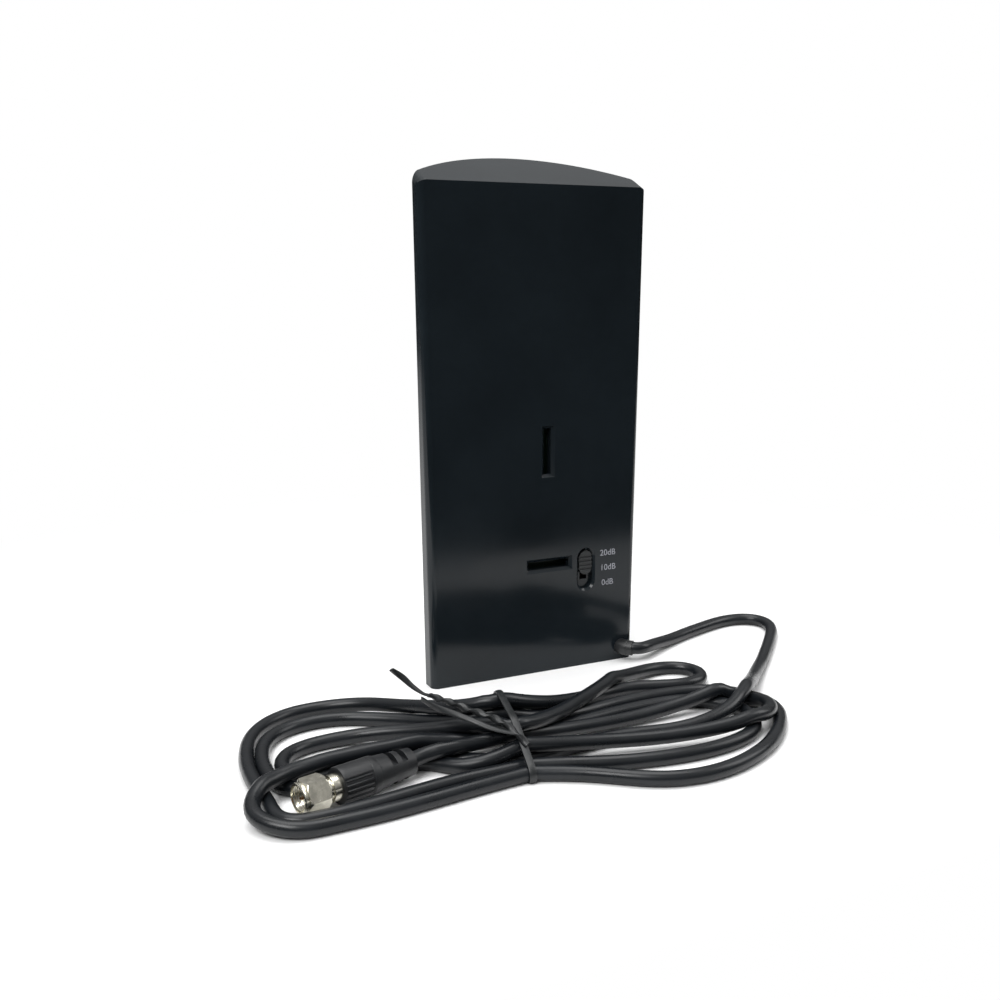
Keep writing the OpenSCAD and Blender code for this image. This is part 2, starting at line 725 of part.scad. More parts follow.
module board_screws() {
    color("#8d9094") for (p = concat(radiator_holes, amp_holes))
        translate([p[0], board_y0, p[1]]) rotate([-90, 0, 0]) {
            cylinder(d = screw_d, h = screw_len, $fn = 20);
            difference() {
                translate([0, 0, -screw_head_t])
                    cylinder(d = screw_head_d, h = screw_head_t, $fn = 24);
                for (a = [0, 90]) rotate([0, 0, a])
                    translate([-screw_d / 2, -screw_d / 8, -screw_head_t - past])
                        cube([screw_d, screw_d / 4, screw_head_t / 2 + past]);
            }
        }
}

// A round sleeve of outer radius r round the lead, h long from the plane z = 0
module relief_sleeve(r, h) {
    difference() {
        cylinder(r = r, h = h);
        translate([0, 0, -past]) cylinder(d = lead_d, h = h + 2 * past);
    }
}

// The strain relief: a sleeve through the rear cover between two collars, and an elbow
module cable_grommet() {
    color("#17191b") {
        on_rear_face(exit_x, exit_z) relief_sleeve(relief_r, wall);
        on_rear_face(exit_x, exit_z, rear_y + wall)
            relief_sleeve(relief_r + relief_collar, relief_collar_t);
        translate(exit_at + [relief_bend_r, 0, 0]) rotate([0, 0, 180])
            rotate_extrude(angle = relief_turn) translate([relief_bend_r, 0]) difference() {
                circle(relief_r + relief_step);
                circle(lead_d / 2 + relief_step);
            }
        translate(bend_end) rotate([0, 90, -90 + relief_turn]) relief_sleeve(relief_r, relief_len);
    }
}

module lead_core() {
    color("#e8e6df") on_rear_face(exit_x, exit_z, jacket_end_y)
        cylinder(d = core_d, h = core_end_y - jacket_end_y);
    wire_start = [exit_x, core_end_y - kiss, exit_z];
    color("#c98a4b") swept_tube([wire_start, wire_start + [-0.3, 0.5, 1],
        signal_pad - [0, 0.4, 1.5], signal_pad], centre_d, [0, 1, 0]);
}

module lead_braid() {
    side = (core_d + braid_d) / 2 + kiss;
    start = [exit_x, jacket_end_y, exit_z] + side * [-cos(30), 0, sin(30)];
    color("#b98d63") swept_tube([start, start + [-0.6, 0.6, 0.4], ground_pad + [1, -0.2, 0],
        ground_pad - [1, 0, 0]], braid_d);
}

module lead_cable() {
    color("#1a1c1e") swept_tube(lead_route, lead_d);
}

module in_hank() {
    translate(hank_at) rotate([0, 0, hank_turn]) children();
}

module bend_circles(bends) {
    for (b = bends) translate([b[0], b[1]]) circle(b[2], $fn = 32);
}

module hank_outline() {
    waist = [waist_front, waist_back];
    hull() bend_circles(concat(left_bends, waist));
    hull() bend_circles(concat(right_bends, waist));
}

// Everything outside the twist tie's band, over the width of the band
module tie_groove() {
    far = 2 * (tie_back - tie_front);
    difference() {
        translate([-tie_w / 2, -far / 2, -past]) cube([tie_w, far, waist_h + 2 * past]);
        translate([-tie_w, tie_front, tie_t])
            cube([2 * tie_w, tie_back - tie_front, waist_h - 2 * tie_t]);
    }
}

module on_plug() {
    translate(plug_at) rotate([0, 0, plug_turn]) children();
}

// The space inside the front loop where the plug lies
module plug_pocket() {
    length = plug_len + pocket_past - pocket_inset;
    on_plug() translate([pocket_inset, 0, -collar_d]) {
        cylinder(r = pocket_r, h = 2 * collar_d + hank_h);
        translate([length, 0, 0]) cylinder(r = pocket_r, h = 2 * collar_d + hank_h);
        translate([0, -pocket_r, 0]) cube([length, 2 * pocket_r, 2 * collar_d + hank_h]);
    }
}

module cable_hank() {
    color("#1a1c1e") difference() {
        union() {
            in_hank() linear_extrude(hank_h) hank_outline();
            in_hank() linear_extrude(waist_h) hull() bend_circles([waist_front, waist_back]);
        }
        in_hank() tie_groove();
        plug_pocket();
    }
}

module twist_tie() {
    neck_d = 1.4 * tie_end_d;
    color("#202224") in_hank() {
        difference() {
            translate([-tie_w / 2, tie_front - tie_t, 0])
                cube([tie_w, tie_back - tie_front + 2 * tie_t, waist_h]);
            translate([-tie_w, tie_front, tie_t])
                cube([2 * tie_w, tie_back - tie_front, waist_h - 2 * tie_t]);
        }
        swept_tube([for (p = tie_neck) p + [0, 0, waist_h + neck_d / 2]], neck_d);
        for (end = [tie_end_a, tie_end_b])
            swept_tube([for (p = end) p + [0, 0, waist_h + tie_end_d / 2]], tie_end_d);
    }
}

module plug_tail() {
    color("#1a1c1e") swept_tube(tail_route, lead_d);
}

// Along the plug: a plain round length from x0 to x1
module turned(x0, x1, d) {
    translate([x0, 0, 0]) rotate([0, 90, 0]) cylinder(d = d, h = x1 - x0);
}

module plug_boot() {
    cuts = [boot_len * 0.4, boot_len * 0.4 + 2 * boot_cut_w];
    color("#17191b") on_plug() translate([boot_x, 0, 0]) difference() {
        rotate([0, 90, 0]) cylinder(d1 = boot_d, d2 = boot_end_d, h = boot_len);
        for (x = cuts, side = [-1, 1])
            translate([x - boot_cut_w / 2, -boot_d, side > 0 ? boot_d / 2 - boot_cut_d : -boot_d])
                cube([boot_cut_w, 2 * boot_d, boot_d / 2 + boot_cut_d]);
    }
}

module plug_collar() {
    rib_pitch = 2 * collar_groove_w;
    color("#17191b") on_plug() translate([collar_x, 0, 0]) difference() {
        turned(0, collar_len, collar_d);
        for (side = [-90, 90], i = [-2 : 2])
            rotate([side + i * rib_pitch * 360 / (PI * collar_d), 0, 0])
                translate([-past, -collar_groove_w / 2, collar_d / 2 - collar_groove_d])
                    cube([collar_len * 0.8 + past, collar_groove_w, collar_d]);
    }
}

module plug_ferrule() {
    groove_x = ferrule_x + ferrule_len / 3;
    color("#b9b291") on_plug() difference() {
        union() {
            turned(flange_x, flange_x + flange_t, flange_d);
            turned(flange_x, ferrule_x, neck_d);
            turned(ferrule_x, ferrule_x + ferrule_len / 3, neck_d + 0.8);
            turned(groove_x, collar_x, ferrule_d);
        }
        turned(flange_x - past, collar_x + past, insulator_d);
    }
}

module plug_insulator() {
    color("#e8e6df") on_plug() difference() {
        turned(flange_x, collar_x, insulator_d);
        turned(flange_x - past, collar_x + past, pin_d);
    }
}

module plug_pin() {
    color("#c98a4b") on_plug() turned(pin_sink, collar_x, pin_d);
}

module coupling_nut() {
    color("#c4bd9b") on_plug() difference() {
        union() {
            turned(0, nut_lip + past, nut_af);
            translate([nut_lip, 0, 0]) rotate([0, 90, 0])
                cylinder(d = nut_corner_d, h = nut_len - nut_lip, $fn = 6);
        }
        turned(-past, nut_len - nut_back_t, nut_bore_d);
        turned(nut_len - nut_back_t - past, nut_len + past, neck_d + 2 * nut_clear);
    }
}

front_shell();
rear_cover();
radiator_board();
upper_radiator();
lower_radiator();
balun_core();
balun_wires();
amp_board();
shield_can();
filter_caps();
chip_parts();
switch_frame();
switch_base();
switch_pins();
switch_wiper();
switch_knob();
board_screws();
cable_grommet();
lead_core();
lead_braid();
lead_cable();
cable_hank();
twist_tie();
plug_tail();
plug_boot();
plug_collar();
plug_ferrule();
plug_insulator();
plug_pin();
coupling_nut();
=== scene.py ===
import bpy, bmesh, math
import numpy as np
from mathutils import Matrix, Vector


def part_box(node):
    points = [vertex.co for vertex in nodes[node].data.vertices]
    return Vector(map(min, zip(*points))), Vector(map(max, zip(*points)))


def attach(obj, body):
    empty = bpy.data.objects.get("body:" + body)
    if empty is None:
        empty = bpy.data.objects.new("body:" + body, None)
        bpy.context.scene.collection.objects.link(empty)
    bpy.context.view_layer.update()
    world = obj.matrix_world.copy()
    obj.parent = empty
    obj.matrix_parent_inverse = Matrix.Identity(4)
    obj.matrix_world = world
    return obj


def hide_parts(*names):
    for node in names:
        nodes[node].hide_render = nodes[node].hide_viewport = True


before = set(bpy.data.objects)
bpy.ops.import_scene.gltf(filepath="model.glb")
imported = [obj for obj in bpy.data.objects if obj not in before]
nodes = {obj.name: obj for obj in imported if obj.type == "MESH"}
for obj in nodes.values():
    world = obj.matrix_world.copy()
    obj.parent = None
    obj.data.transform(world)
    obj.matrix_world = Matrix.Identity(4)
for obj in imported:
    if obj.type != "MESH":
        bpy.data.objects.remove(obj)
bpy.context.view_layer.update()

mm = 0.001


ease = {"mergeReach": 2e-6, "flatAngle": 0.6, "edgeAngle": 32, "smoothAngle": 40, "segments": 2}


def newPiece(name, verts, faces):
    mesh = bpy.data.meshes.new(name)
    mesh.from_pydata([tuple(v) for v in verts], [], [tuple(f) for f in faces])
    mesh.update()
    piece = bpy.data.objects.new(name, mesh)
    bpy.context.collection.objects.link(piece)
    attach(piece, "antenna")
    return piece


def softenEdges(mesh, limit):
    # smooth shading that breaks at the real edges
    bm = bmesh.new()
    bm.from_mesh(mesh)
    for face in bm.faces:
        face.smooth = True
    for edge in bm.edges:
        edge.smooth = len(edge.link_faces) == 2 and edge.calc_face_angle(0) < math.radians(limit)
    bm.to_mesh(mesh)
    bm.free()


def bakeModifiers(piece):
    bpy.context.view_layer.update()
    seen = piece.evaluated_get(bpy.context.evaluated_depsgraph_get())
    mesh = bpy.data.meshes.new_from_object(seen)
    old = piece.data
    piece.modifiers.clear()
    piece.data = mesh
    if old.users == 0:
        bpy.data.meshes.remove(old)
    return piece


def solidCopy(node, name, body, bevel):
    # a merged copy of a CAD node with its sharp edges eased by bevel mm
    mesh = nodes[node].data.copy()
    bm = bmesh.new()
    bm.from_mesh(mesh)
    bmesh.ops.remove_doubles(bm, verts=bm.verts, dist=ease["mergeReach"])
    bmesh.ops.dissolve_limit(bm, angle_limit=math.radians(ease["flatAngle"]), verts=bm.verts, edges=bm.edges)
    bm.to_mesh(mesh)
    bm.free()
    mesh.materials.clear()
    piece = bpy.data.objects.new(name, mesh)
    bpy.context.collection.objects.link(piece)
    cut = piece.modifiers.new("ease", "BEVEL")
    cut.width = bevel * mm
    cut.segments = ease["segments"]
    cut.limit_method = "ANGLE"
    cut.angle_limit = math.radians(ease["edgeAngle"])
    cut.use_clamp_overlap = True
    cut.harden_normals = False
    bakeModifiers(piece)
    softenEdges(piece.data, ease["smoothAngle"])
    level = piece.modifiers.new("level", "WEIGHTED_NORMAL")
    level.weight = 100
    level.keep_sharp = True
    bakeModifiers(piece)
    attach(piece, body)
    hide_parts(node)
    return piece


def paint(piece, material):
    piece.data.materials.clear()
    piece.data.materials.append(material)
    return piece


# the camera of the photo: place in mm, turns in degrees
cameraPlace = {"spot": (-210.7, -422.6, 168.1), "yaw": 25.2, "pitch": 11.1, "roll": -0.25, "lens": 39.6,
               "sensor": 36}


def setCamera(place):
    yaw, pitch, roll = (math.radians(place[k]) for k in ("yaw", "pitch", "roll"))
    ahead = Vector((math.sin(yaw) * math.cos(pitch), math.cos(yaw) * math.cos(pitch), -math.sin(pitch)))
    right = Vector((math.cos(yaw), -math.sin(yaw), 0))
    up = right.cross(ahead)
    rolledRight = math.cos(roll) * right + math.sin(roll) * up
    rolledUp = -math.sin(roll) * right + math.cos(roll) * up
    turn = Matrix((rolledRight, rolledUp, -ahead)).transposed().to_4x4()
    data = bpy.data.cameras.new("camera")
    data.lens = place["lens"]
    data.sensor_width = place["sensor"]
    data.clip_start = 0.01
    camera = bpy.data.objects.new("camera", data)
    bpy.context.collection.objects.link(camera)
    camera.matrix_world = Matrix.Translation(Vector(place["spot"]) * mm) @ turn
    bpy.context.scene.camera = camera


setCamera(cameraPlace)
print("camera set")


# the lead goes out of the panel, round on the table, into its folded hank and on to its plug
lead = {"diameter": 5.5, "step": 2.5, "sides": 14, "rounds": 260, "heldStart": 14, "heldEnd": 6,
        "gap": 0.4, "pressed": 0.35, "panelHalf": 53, "panelFace": -15.2}
plug = {"at": (-130.3, -98.8, 6.4), "turn": 15.0, "boot": 44.15, "inBoot": 0.6, "lineUp": (50, 0.6),
        "keepFrom": 1, "bootFrom": 30, "keepTo": 44, "keepStep": 2.0, "collarKeep": 6.6, "bootKeep": 5.9}
hank = {"at": (-48.0, -81.0), "turn": -7.0}


def onPlug(along, lift=0.0):
    turn = math.radians(plug["turn"])
    x, y, z = plug["at"]
    return (x + along * math.cos(turn), y + along * math.sin(turn), z + lift)


def inHank(along, across, height):
    turn = math.radians(hank["turn"])
    return (hank["at"][0] + along * math.cos(turn) - across * math.sin(turn),
            hank["at"][1] + along * math.sin(turn) + across * math.cos(turn), height)


# where each run passes under the tie: across the hank, and its height
waist = {"a": (7.6, 17), "b": (8.9, 11.3), "m": (2.2, 6.8), "c": (-9, 13.4), "f": (-5.2, 8.4),
         "d": (-16, 8.5), "e": (-14.4, 2.8), "g": (-20.5, 2.8), "i": (-26.4, 2.8)}

# guide points from the exit to the first run, then for each fold from one run to the next
leadOut = [(43, -8, 6), (43, -12, 6), (43.4, -14, 6), (44.5, -15.6, 6), (46.3, -17.2, 6),
           (49.5, -18.4, 5.9), (54, -16.8, 5.5), (61, -13, 4.6), (70, -8.3, 3.5), (83, -2.4, 2.8),
           (97, 2.3, 2.8), (110, 6.3, 2.8), (120, 7.2, 2.8), (127.5, 5, 2.8), (131.8, -0.5, 2.8),
           (131, -8, 2.8), (127, -14.5, 2.8), (119, -23.5, 2.8), (110, -33, 2.8), (102, -41, 2.8),
           (94, -49, 2.8), (86.5, -56, 3.6), (77.5, -65, 6.4), (68.5, -74, 9.6), (60, -82.5, 11.8),
           (51.5, -89.5, 10.6), (43, -94.8, 7.8), (34, -96.8, 5), (24, -97.8, 3.2), (12, -96.3, 2.8),
           (-1, -93.8, 2.8), (-15, -92.8, 2.8), (-30, -94, 2.8), (-40, -95, 2.8)]

bends = {
    "ec": [(-58, -92.3, 2.8), (-67, -87, 2.8), (-76, -81.5, 2.8), (-87, -77.8, 2.8), (-99, -77.3, 2.8),
           (-110, -78, 2.8), (-119.5, -77.5, 2.8), (-125.5, -74, 2.8), (-127.8, -67.5, 2.8),
           (-126.5, -60, 2.8), (-122, -54.3, 2.8), (-113, -50.8, 2.8), (-102, -50, 3),
           (-90, -53.5, 3.6), (-78, -62, 5.8), (-67, -73, 8.8), (-57, -83, 11.8)],
    "ca": [(-38.5, -86.5, 13.8), (-26, -79.5, 13.6), (-13, -70.5, 12.8), (1, -60.5, 11.3),
           (15.5, -50.8, 9.2), (28.5, -43.5, 7.4), (39.5, -38.5, 5.2), (49.5, -37, 3.4), (57.5, -41, 3),
           (60.5, -48.5, 3), (57.5, -56, 3), (49, -59, 3), (38.5, -57, 3), (28, -53, 3),
           (16.5, -51.5, 3.4), (3.5, -55, 5.5), (-10.5, -61.5, 9), (-24, -68.5, 12.2),
           (-36, -72.5, 15)],
    "ag": [(-53.5, -71.5, 15.8), (-61, -63, 14), (-68.3, -51, 12), (-75.5, -37.5, 8.2),
           (-83.5, -25.5, 5.5), (-93, -19.5, 3.8), (-104, -16.8, 3), (-114.5, -18.8, 3),
           (-123, -24.3, 2.8), (-130, -32.5, 2.8), (-135, -45, 2.8), (-137.5, -58, 2.8),
           (-138.4, -72, 2.8), (-138.6, -85, 2.8), (-137.5, -95, 2.8), (-133.5, -103, 2.8),
           (-124.5, -106.8, 2.8), (-112, -106.6, 2.8), (-98, -104.5, 2.8), (-84, -102.5, 2.8),
           (-70, -101.3, 2.8), (-59, -101.6, 2.8)],
    "gm": [(-38, -104.8, 2.8), (-28, -109.3, 2.8), (-15, -113.6, 2.8), (-2, -116.3, 2.8),
           (12, -117.5, 2.8), (25, -116.6, 2.8), (37, -112.8, 2.8), (46, -106, 2.8), (50.5, -96, 2.8),
           (49, -86, 2.8), (43.5, -78, 2.8), (34, -73.6, 2.8), (25, -72.4, 2.8), (15, -72.3, 2.8),
           (2, -72.8, 2.8), (-12, -74.5, 3.2), (-26, -76.4, 4.8), (-38, -78.3, 6.6)],
    "mi": [(-58, -78.2, 8), (-70, -76.5, 8.3), (-84, -76, 8.3), (-97, -76.3, 8.3), (-110, -77, 8.3),
           (-121, -78.5, 8.3), (-131, -82, 8.3), (-139, -87, 8.3), (-144.5, -94, 6.5),
           (-145.5, -101.5, 3.8), (-140.5, -107.5, 2.8), (-131, -111, 2.8), (-119, -112.5, 2.8),
           (-106, -112.3, 2.8), (-92, -111, 2.8), (-78, -109.3, 2.8), (-64, -107.8, 2.8)],
    "ib": [(-42, -110.8, 2.8), (-31, -117.2, 2.8), (-22, -124.2, 2.8), (-12.5, -130.5, 2.8),
           (-1, -133.5, 2.8), (12, -133.3, 2.8), (24, -130, 2.8), (36, -124.5, 2.8), (46, -117.5, 2.8),
           (54.5, -109.5, 2.8), (60, -100.5, 2.8), (62, -90.5, 2.8), (61, -80.5, 2.8),
           (55.5, -72.3, 2.8), (46, -66.8, 2.8), (33.4, -64.8, 2.8), (18.9, -64, 3), (4, -65, 4),
           (-10, -68, 6), (-22, -71, 8.4), (-34, -73, 10.6)],
    "bd": [(-57, -67, 11.3), (-67.5, -54, 8.5), (-79, -41.5, 5.5), (-92, -32.5, 3.8),
           (-105.5, -29.8, 3), (-117.5, -32.5, 2.8), (-126.5, -40, 2.8), (-131, -51, 2.8),
           (-133, -64, 2.8), (-132.6, -76, 2.8), (-128.3, -84, 2.8), (-120, -86.3, 2.8),
           (-109, -84.8, 2.8), (-98, -83, 2.8), (-87, -83.3, 2.8), (-78, -88.2, 2.8), (-70, -94.4, 2.8),
           (-63, -97, 4.4), (-56.5, -97.6, 6.8)],
    "df": [(-42, -97, 8.5), (-33, -97.5, 8.4), (-17, -100, 8.3), (0, -104.2, 8.3), (14.7, -107.1, 8.3),
           (27.8, -109, 8.3), (36.8, -110.1, 8.3), (45.5, -109.3, 8.3), (53.5, -105.5, 8.3),
           (59.5, -100, 8.3), (62, -93, 8.2), (59.8, -86.2, 6.6), (54, -82.5, 7), (47.5, -81.2, 8.3),
           (40.5, -81, 7.6), (33, -81, 5.6), (24, -81, 3.9), (14, -81.3, 3.2), (3, -81.4, 3),
           (-8, -81.3, 3.4), (-20, -81.5, 4.8), (-34, -83.2, 7.4)]}
turnOrder = ["ec", "ca", "ag", "gm", "mi", "ib", "bd", "df"]
toPlug = [(-57, -85.8, 8.9), (-66, -86.2, 9.2), (-75, -87, 8.4)]


def evenSteps(line, step):
    gone = np.r_[0, np.cumsum(np.linalg.norm(np.diff(line, axis=0), axis=1))]
    at = np.linspace(0, gone[-1], max(int(round(gone[-1] / step)), 2) + 1)
    return np.stack([np.interp(at, gone, line[:, k]) for k in range(3)], 1)


def roundedLine(points, step):
    # a smooth curve through the given points, in even steps
    p = np.array(points, float)
    p = np.vstack([2 * p[0] - p[1], p, 2 * p[-1] - p[-2]])
    out = []
    for i in range(1, len(p) - 2):
        a, b, c, d = p[i - 1:i + 3]
        t = [0.0]
        for q, r in ((a, b), (b, c), (c, d)):
            t.append(t[-1] + max(np.linalg.norm(r - q), 1e-6) ** 0.5)
        for s in np.linspace(t[1], t[2], 12, endpoint=False):
            ab = (t[1] - s) / (t[1] - t[0]) * a + (s - t[0]) / (t[1] - t[0]) * b
            bc = (t[2] - s) / (t[2] - t[1]) * b + (s - t[1]) / (t[2] - t[1]) * c
            cd = (t[3] - s) / (t[3] - t[2]) * c + (s - t[2]) / (t[3] - t[2]) * d
            near = (t[2] - s) / (t[2] - t[0]) * ab + (s - t[0]) / (t[2] - t[0]) * bc
            far = (t[3] - s) / (t[3] - t[1]) * bc + (s - t[1]) / (t[3] - t[1]) * cd
            out.append((t[2] - s) / (t[2] - t[1]) * near + (s - t[1]) / (t[2] - t[1]) * far)
    out.append(p[-2])
    return evenSteps(np.array(out), step)


# how the cord is laid: the share of the rounds in which its guide holds it, how strongly it is held on
# the table and in height, how much it sags and is smoothed, and how far it looks for its own turns
laying = {"fadeShare": 0.75, "hold": 0.05, "lastHold": 0.01, "heightHold": 0.02, "sag": 0.03,
          "levelShare": 0.6, "levelTimes": (6, 2), "smooth": (0.4, -0.385) * 3, "pushTimes": (2, 4),
          "ownTurn": 1.6, "upward": 2.2, "lookEvery": 6, "lookReach": 2.2, "mostPushes": 3}


def settle(line, rounds, heldStart, heldEnd, gathered, keepOut, apart, floor):
    # lays the cord: it stays by its guide, bends softly, rests on the table and never runs through itself
    n = len(line)
    guide = line.copy()
    gap = np.linalg.norm(np.diff(line, axis=0), axis=1).mean()
    free = np.ones(n)
    free[:heldStart] = 0
    free[n - heldEnd:] = 0
    for spot in gathered:
        nearest = int(((line - np.array(spot)) ** 2).sum(1).argmin())
        free[nearest - 1:nearest + 2] = 0
    first, second = np.triu_indices(n, int(math.ceil(math.pi * apart * laying["ownTurn"] / gap)))
    upright = np.array([1, 1, laying["upward"]])
    for turn in range(rounds):
        fade = max(1 - turn / (rounds * laying["fadeShare"]), 0)
        line[:, 2] -= laying["sag"] * free
        hold = laying["hold"] * fade + laying["lastHold"]
        line[:, :2] += (guide[:, :2] - line[:, :2]) * hold * free[:, None]
        line[:, 2] += (guide[:, 2] - line[:, 2]) * laying["heightHold"] * fade * free
        for again in range(laying["levelTimes"][0 if fade else 1]):
            mid = line[:, 2].copy()
            mid[1:-1] = 0.5 * (line[:-2, 2] + line[2:, 2])
            line[:, 2] += (mid - line[:, 2]) * laying["levelShare"] * free
        for share in laying["smooth"]:
            mid = line.copy()
            mid[1:-1] = 0.5 * (line[:-2] + line[2:])
            line[:, :2] += ((mid - line) * share * free[:, None])[:, :2]
        keep = apart if fade else apart - lead["pressed"]
        for again in range(laying["pushTimes"][0 if fade else 1]):
            if again == 0 and turn % laying["lookEvery"] == 0:
                close = ((line[first] - line[second]) ** 2).sum(1) < (apart * laying["lookReach"]) ** 2
                a, b = first[close], second[close]
            away = line[a] - line[b]
            d = np.sqrt((away ** 2).sum(1)) + 1e-9
            hit = d < keep
            if hit.any():
                p, q = a[hit], b[hit]
                way = away[hit] * upright
                way /= np.linalg.norm(way, axis=1)[:, None] + 1e-9
                push = (keep - d[hit])[:, None]
                share = free[p] + free[q] + 1e-9
                met = np.bincount(np.r_[p, q], minlength=n).clip(1)
                move = np.zeros_like(line)
                np.add.at(move, p, way * push * (free[p] / share)[:, None])
                np.add.at(move, q, -way * push * (free[q] / share)[:, None])
                line += move / np.minimum(met, laying["mostPushes"])[:, None]
            for axis, radius in keepOut:
                away = line[:, None, :] - axis[None]
                d = np.sqrt((away ** 2).sum(2))
                k = d.argmin(1)
                least = d[np.arange(n), k]
                hit = (least < radius) & (free > 0)
                line[hit] += away[np.arange(n), k][hit] / least[hit, None] * (radius - least[hit])[:, None]
            line[:, 2] = np.maximum(line[:, 2], floor)
            byPanel = (np.abs(line[:, 0]) < lead["panelHalf"]) & (line[:, 1] > lead["panelFace"]) & (free > 0)
            line[byPanel, 1] = lead["panelFace"]
    return line


def tube(name, path, diameter, sides, flat=None):
    # a closed tube along a path; flat=(wide, thick, turns) gives a ribbon that may twist
    path = np.array(path, float)
    along = np.gradient(path, axis=0)
    along /= np.linalg.norm(along, axis=1)[:, None]
    side = np.cross(along[0], (0, 0, 1.0))
    if np.linalg.norm(side) < 1e-3:
        side = np.array((1.0, 0, 0))
    side /= np.linalg.norm(side)
    verts, n = [], len(path)
    for i in range(n):
        side = side - along[i] * side.dot(along[i])
        side /= np.linalg.norm(side)
        other = np.cross(side, along[i])
        for k in range(sides):
            angle = 2 * math.pi * k / sides
            c, s = math.cos(angle), math.sin(angle)
            if flat:
                c, s = c * flat[0] / diameter, s * flat[1] / diameter
                t = 2 * math.pi * flat[2] * i / (n - 1)
                c, s = c * math.cos(t) - s * math.sin(t), c * math.sin(t) + s * math.cos(t)
            verts.append(path[i] + (c * side + s * other) * diameter / 2)
    faces = [(i * sides + k, i * sides + (k + 1) % sides, (i + 1) * sides + (k + 1) % sides,
              (i + 1) * sides + k) for i in range(n - 1) for k in range(sides)]
    faces += [tuple(range(sides - 1, -1, -1)), tuple((n - 1) * sides + k for k in range(sides))]
    piece = newPiece(name, verts, faces)
    bm = bmesh.new()
    bm.from_mesh(piece.data)
    bmesh.ops.recalc_face_normals(bm, faces=bm.faces)
    bm.to_mesh(piece.data)
    bm.free()
    softenEdges(piece.data, 60)
    return piece


def layLead():
    route, gathered = list(leadOut), []
    for turn in turnOrder:
        gathered.append(inHank(0, *waist[turn[0]]))
        route += [gathered[-1]] + bends[turn]
    gathered.append(inHank(0, *waist["f"]))
    route.append(gathered[-1])
    route += toPlug + [onPlug(*plug["lineUp"]), onPlug(plug["boot"] - plug["inBoot"])]
    line = roundedLine(route, lead["step"])
    plugLine = np.array([onPlug(s) for s in np.arange(plug["keepFrom"], plug["bootFrom"], plug["keepStep"])])
    bootLine = np.array([onPlug(s) for s in np.arange(plug["bootFrom"], plug["keepTo"], plug["keepStep"])])
    reach = lead["diameter"] / 2
    keepOut = [(plugLine, plug["collarKeep"] + reach), (bootLine, plug["bootKeep"] + reach)]
    return settle(line, lead["rounds"], lead["heldStart"], lead["heldEnd"], gathered, keepOut,
                  lead["diameter"] + lead["gap"], reach)


leadLine = layLead()
leadPath = leadLine * mm
leadTube = tube("leadAndHank", leadPath, lead["diameter"] * mm, lead["sides"])
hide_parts("lead_cable", "cable_hank", "plug_tail")


mottle = {"rampStart": 0.3, "rampEnd": 0.7, "darker": 0.82, "lighter": 1.18, "bump": 0.5, "shine": 0.5}


def newMaterial(name):
    material = bpy.data.materials.new(name)
    material.use_nodes = True
    tree = material.node_tree
    shader = tree.nodes["Principled BSDF"]
    place = tree.nodes.new("ShaderNodeTexCoord")
    return material, tree, shader, place.outputs["Object"]


def addNoise(tree, place, scale, detail):
    noise = tree.nodes.new("ShaderNodeTexNoise")
    noise.inputs["Scale"].default_value = scale
    noise.inputs["Detail"].default_value = detail
    tree.links.new(place, noise.inputs["Vector"])
    return noise.outputs["Fac"]


def addRamp(tree, value, low, high):
    ramp = tree.nodes.new("ShaderNodeValToRGB")
    ramp.color_ramp.elements[0].position = mottle["rampStart"]
    ramp.color_ramp.elements[1].position = mottle["rampEnd"]
    ramp.color_ramp.elements[0].color = (*low, 1)
    ramp.color_ramp.elements[1].color = (*high, 1)
    tree.links.new(value, ramp.inputs["Fac"])
    return ramp.outputs["Color"]


def addBump(tree, value, shader, depth):
    bump = tree.nodes.new("ShaderNodeBump")
    bump.inputs["Strength"].default_value = mottle["bump"]
    bump.inputs["Distance"].default_value = depth * mm
    tree.links.new(value, bump.inputs["Height"])
    tree.links.new(bump.outputs["Normal"], shader.inputs["Normal"])


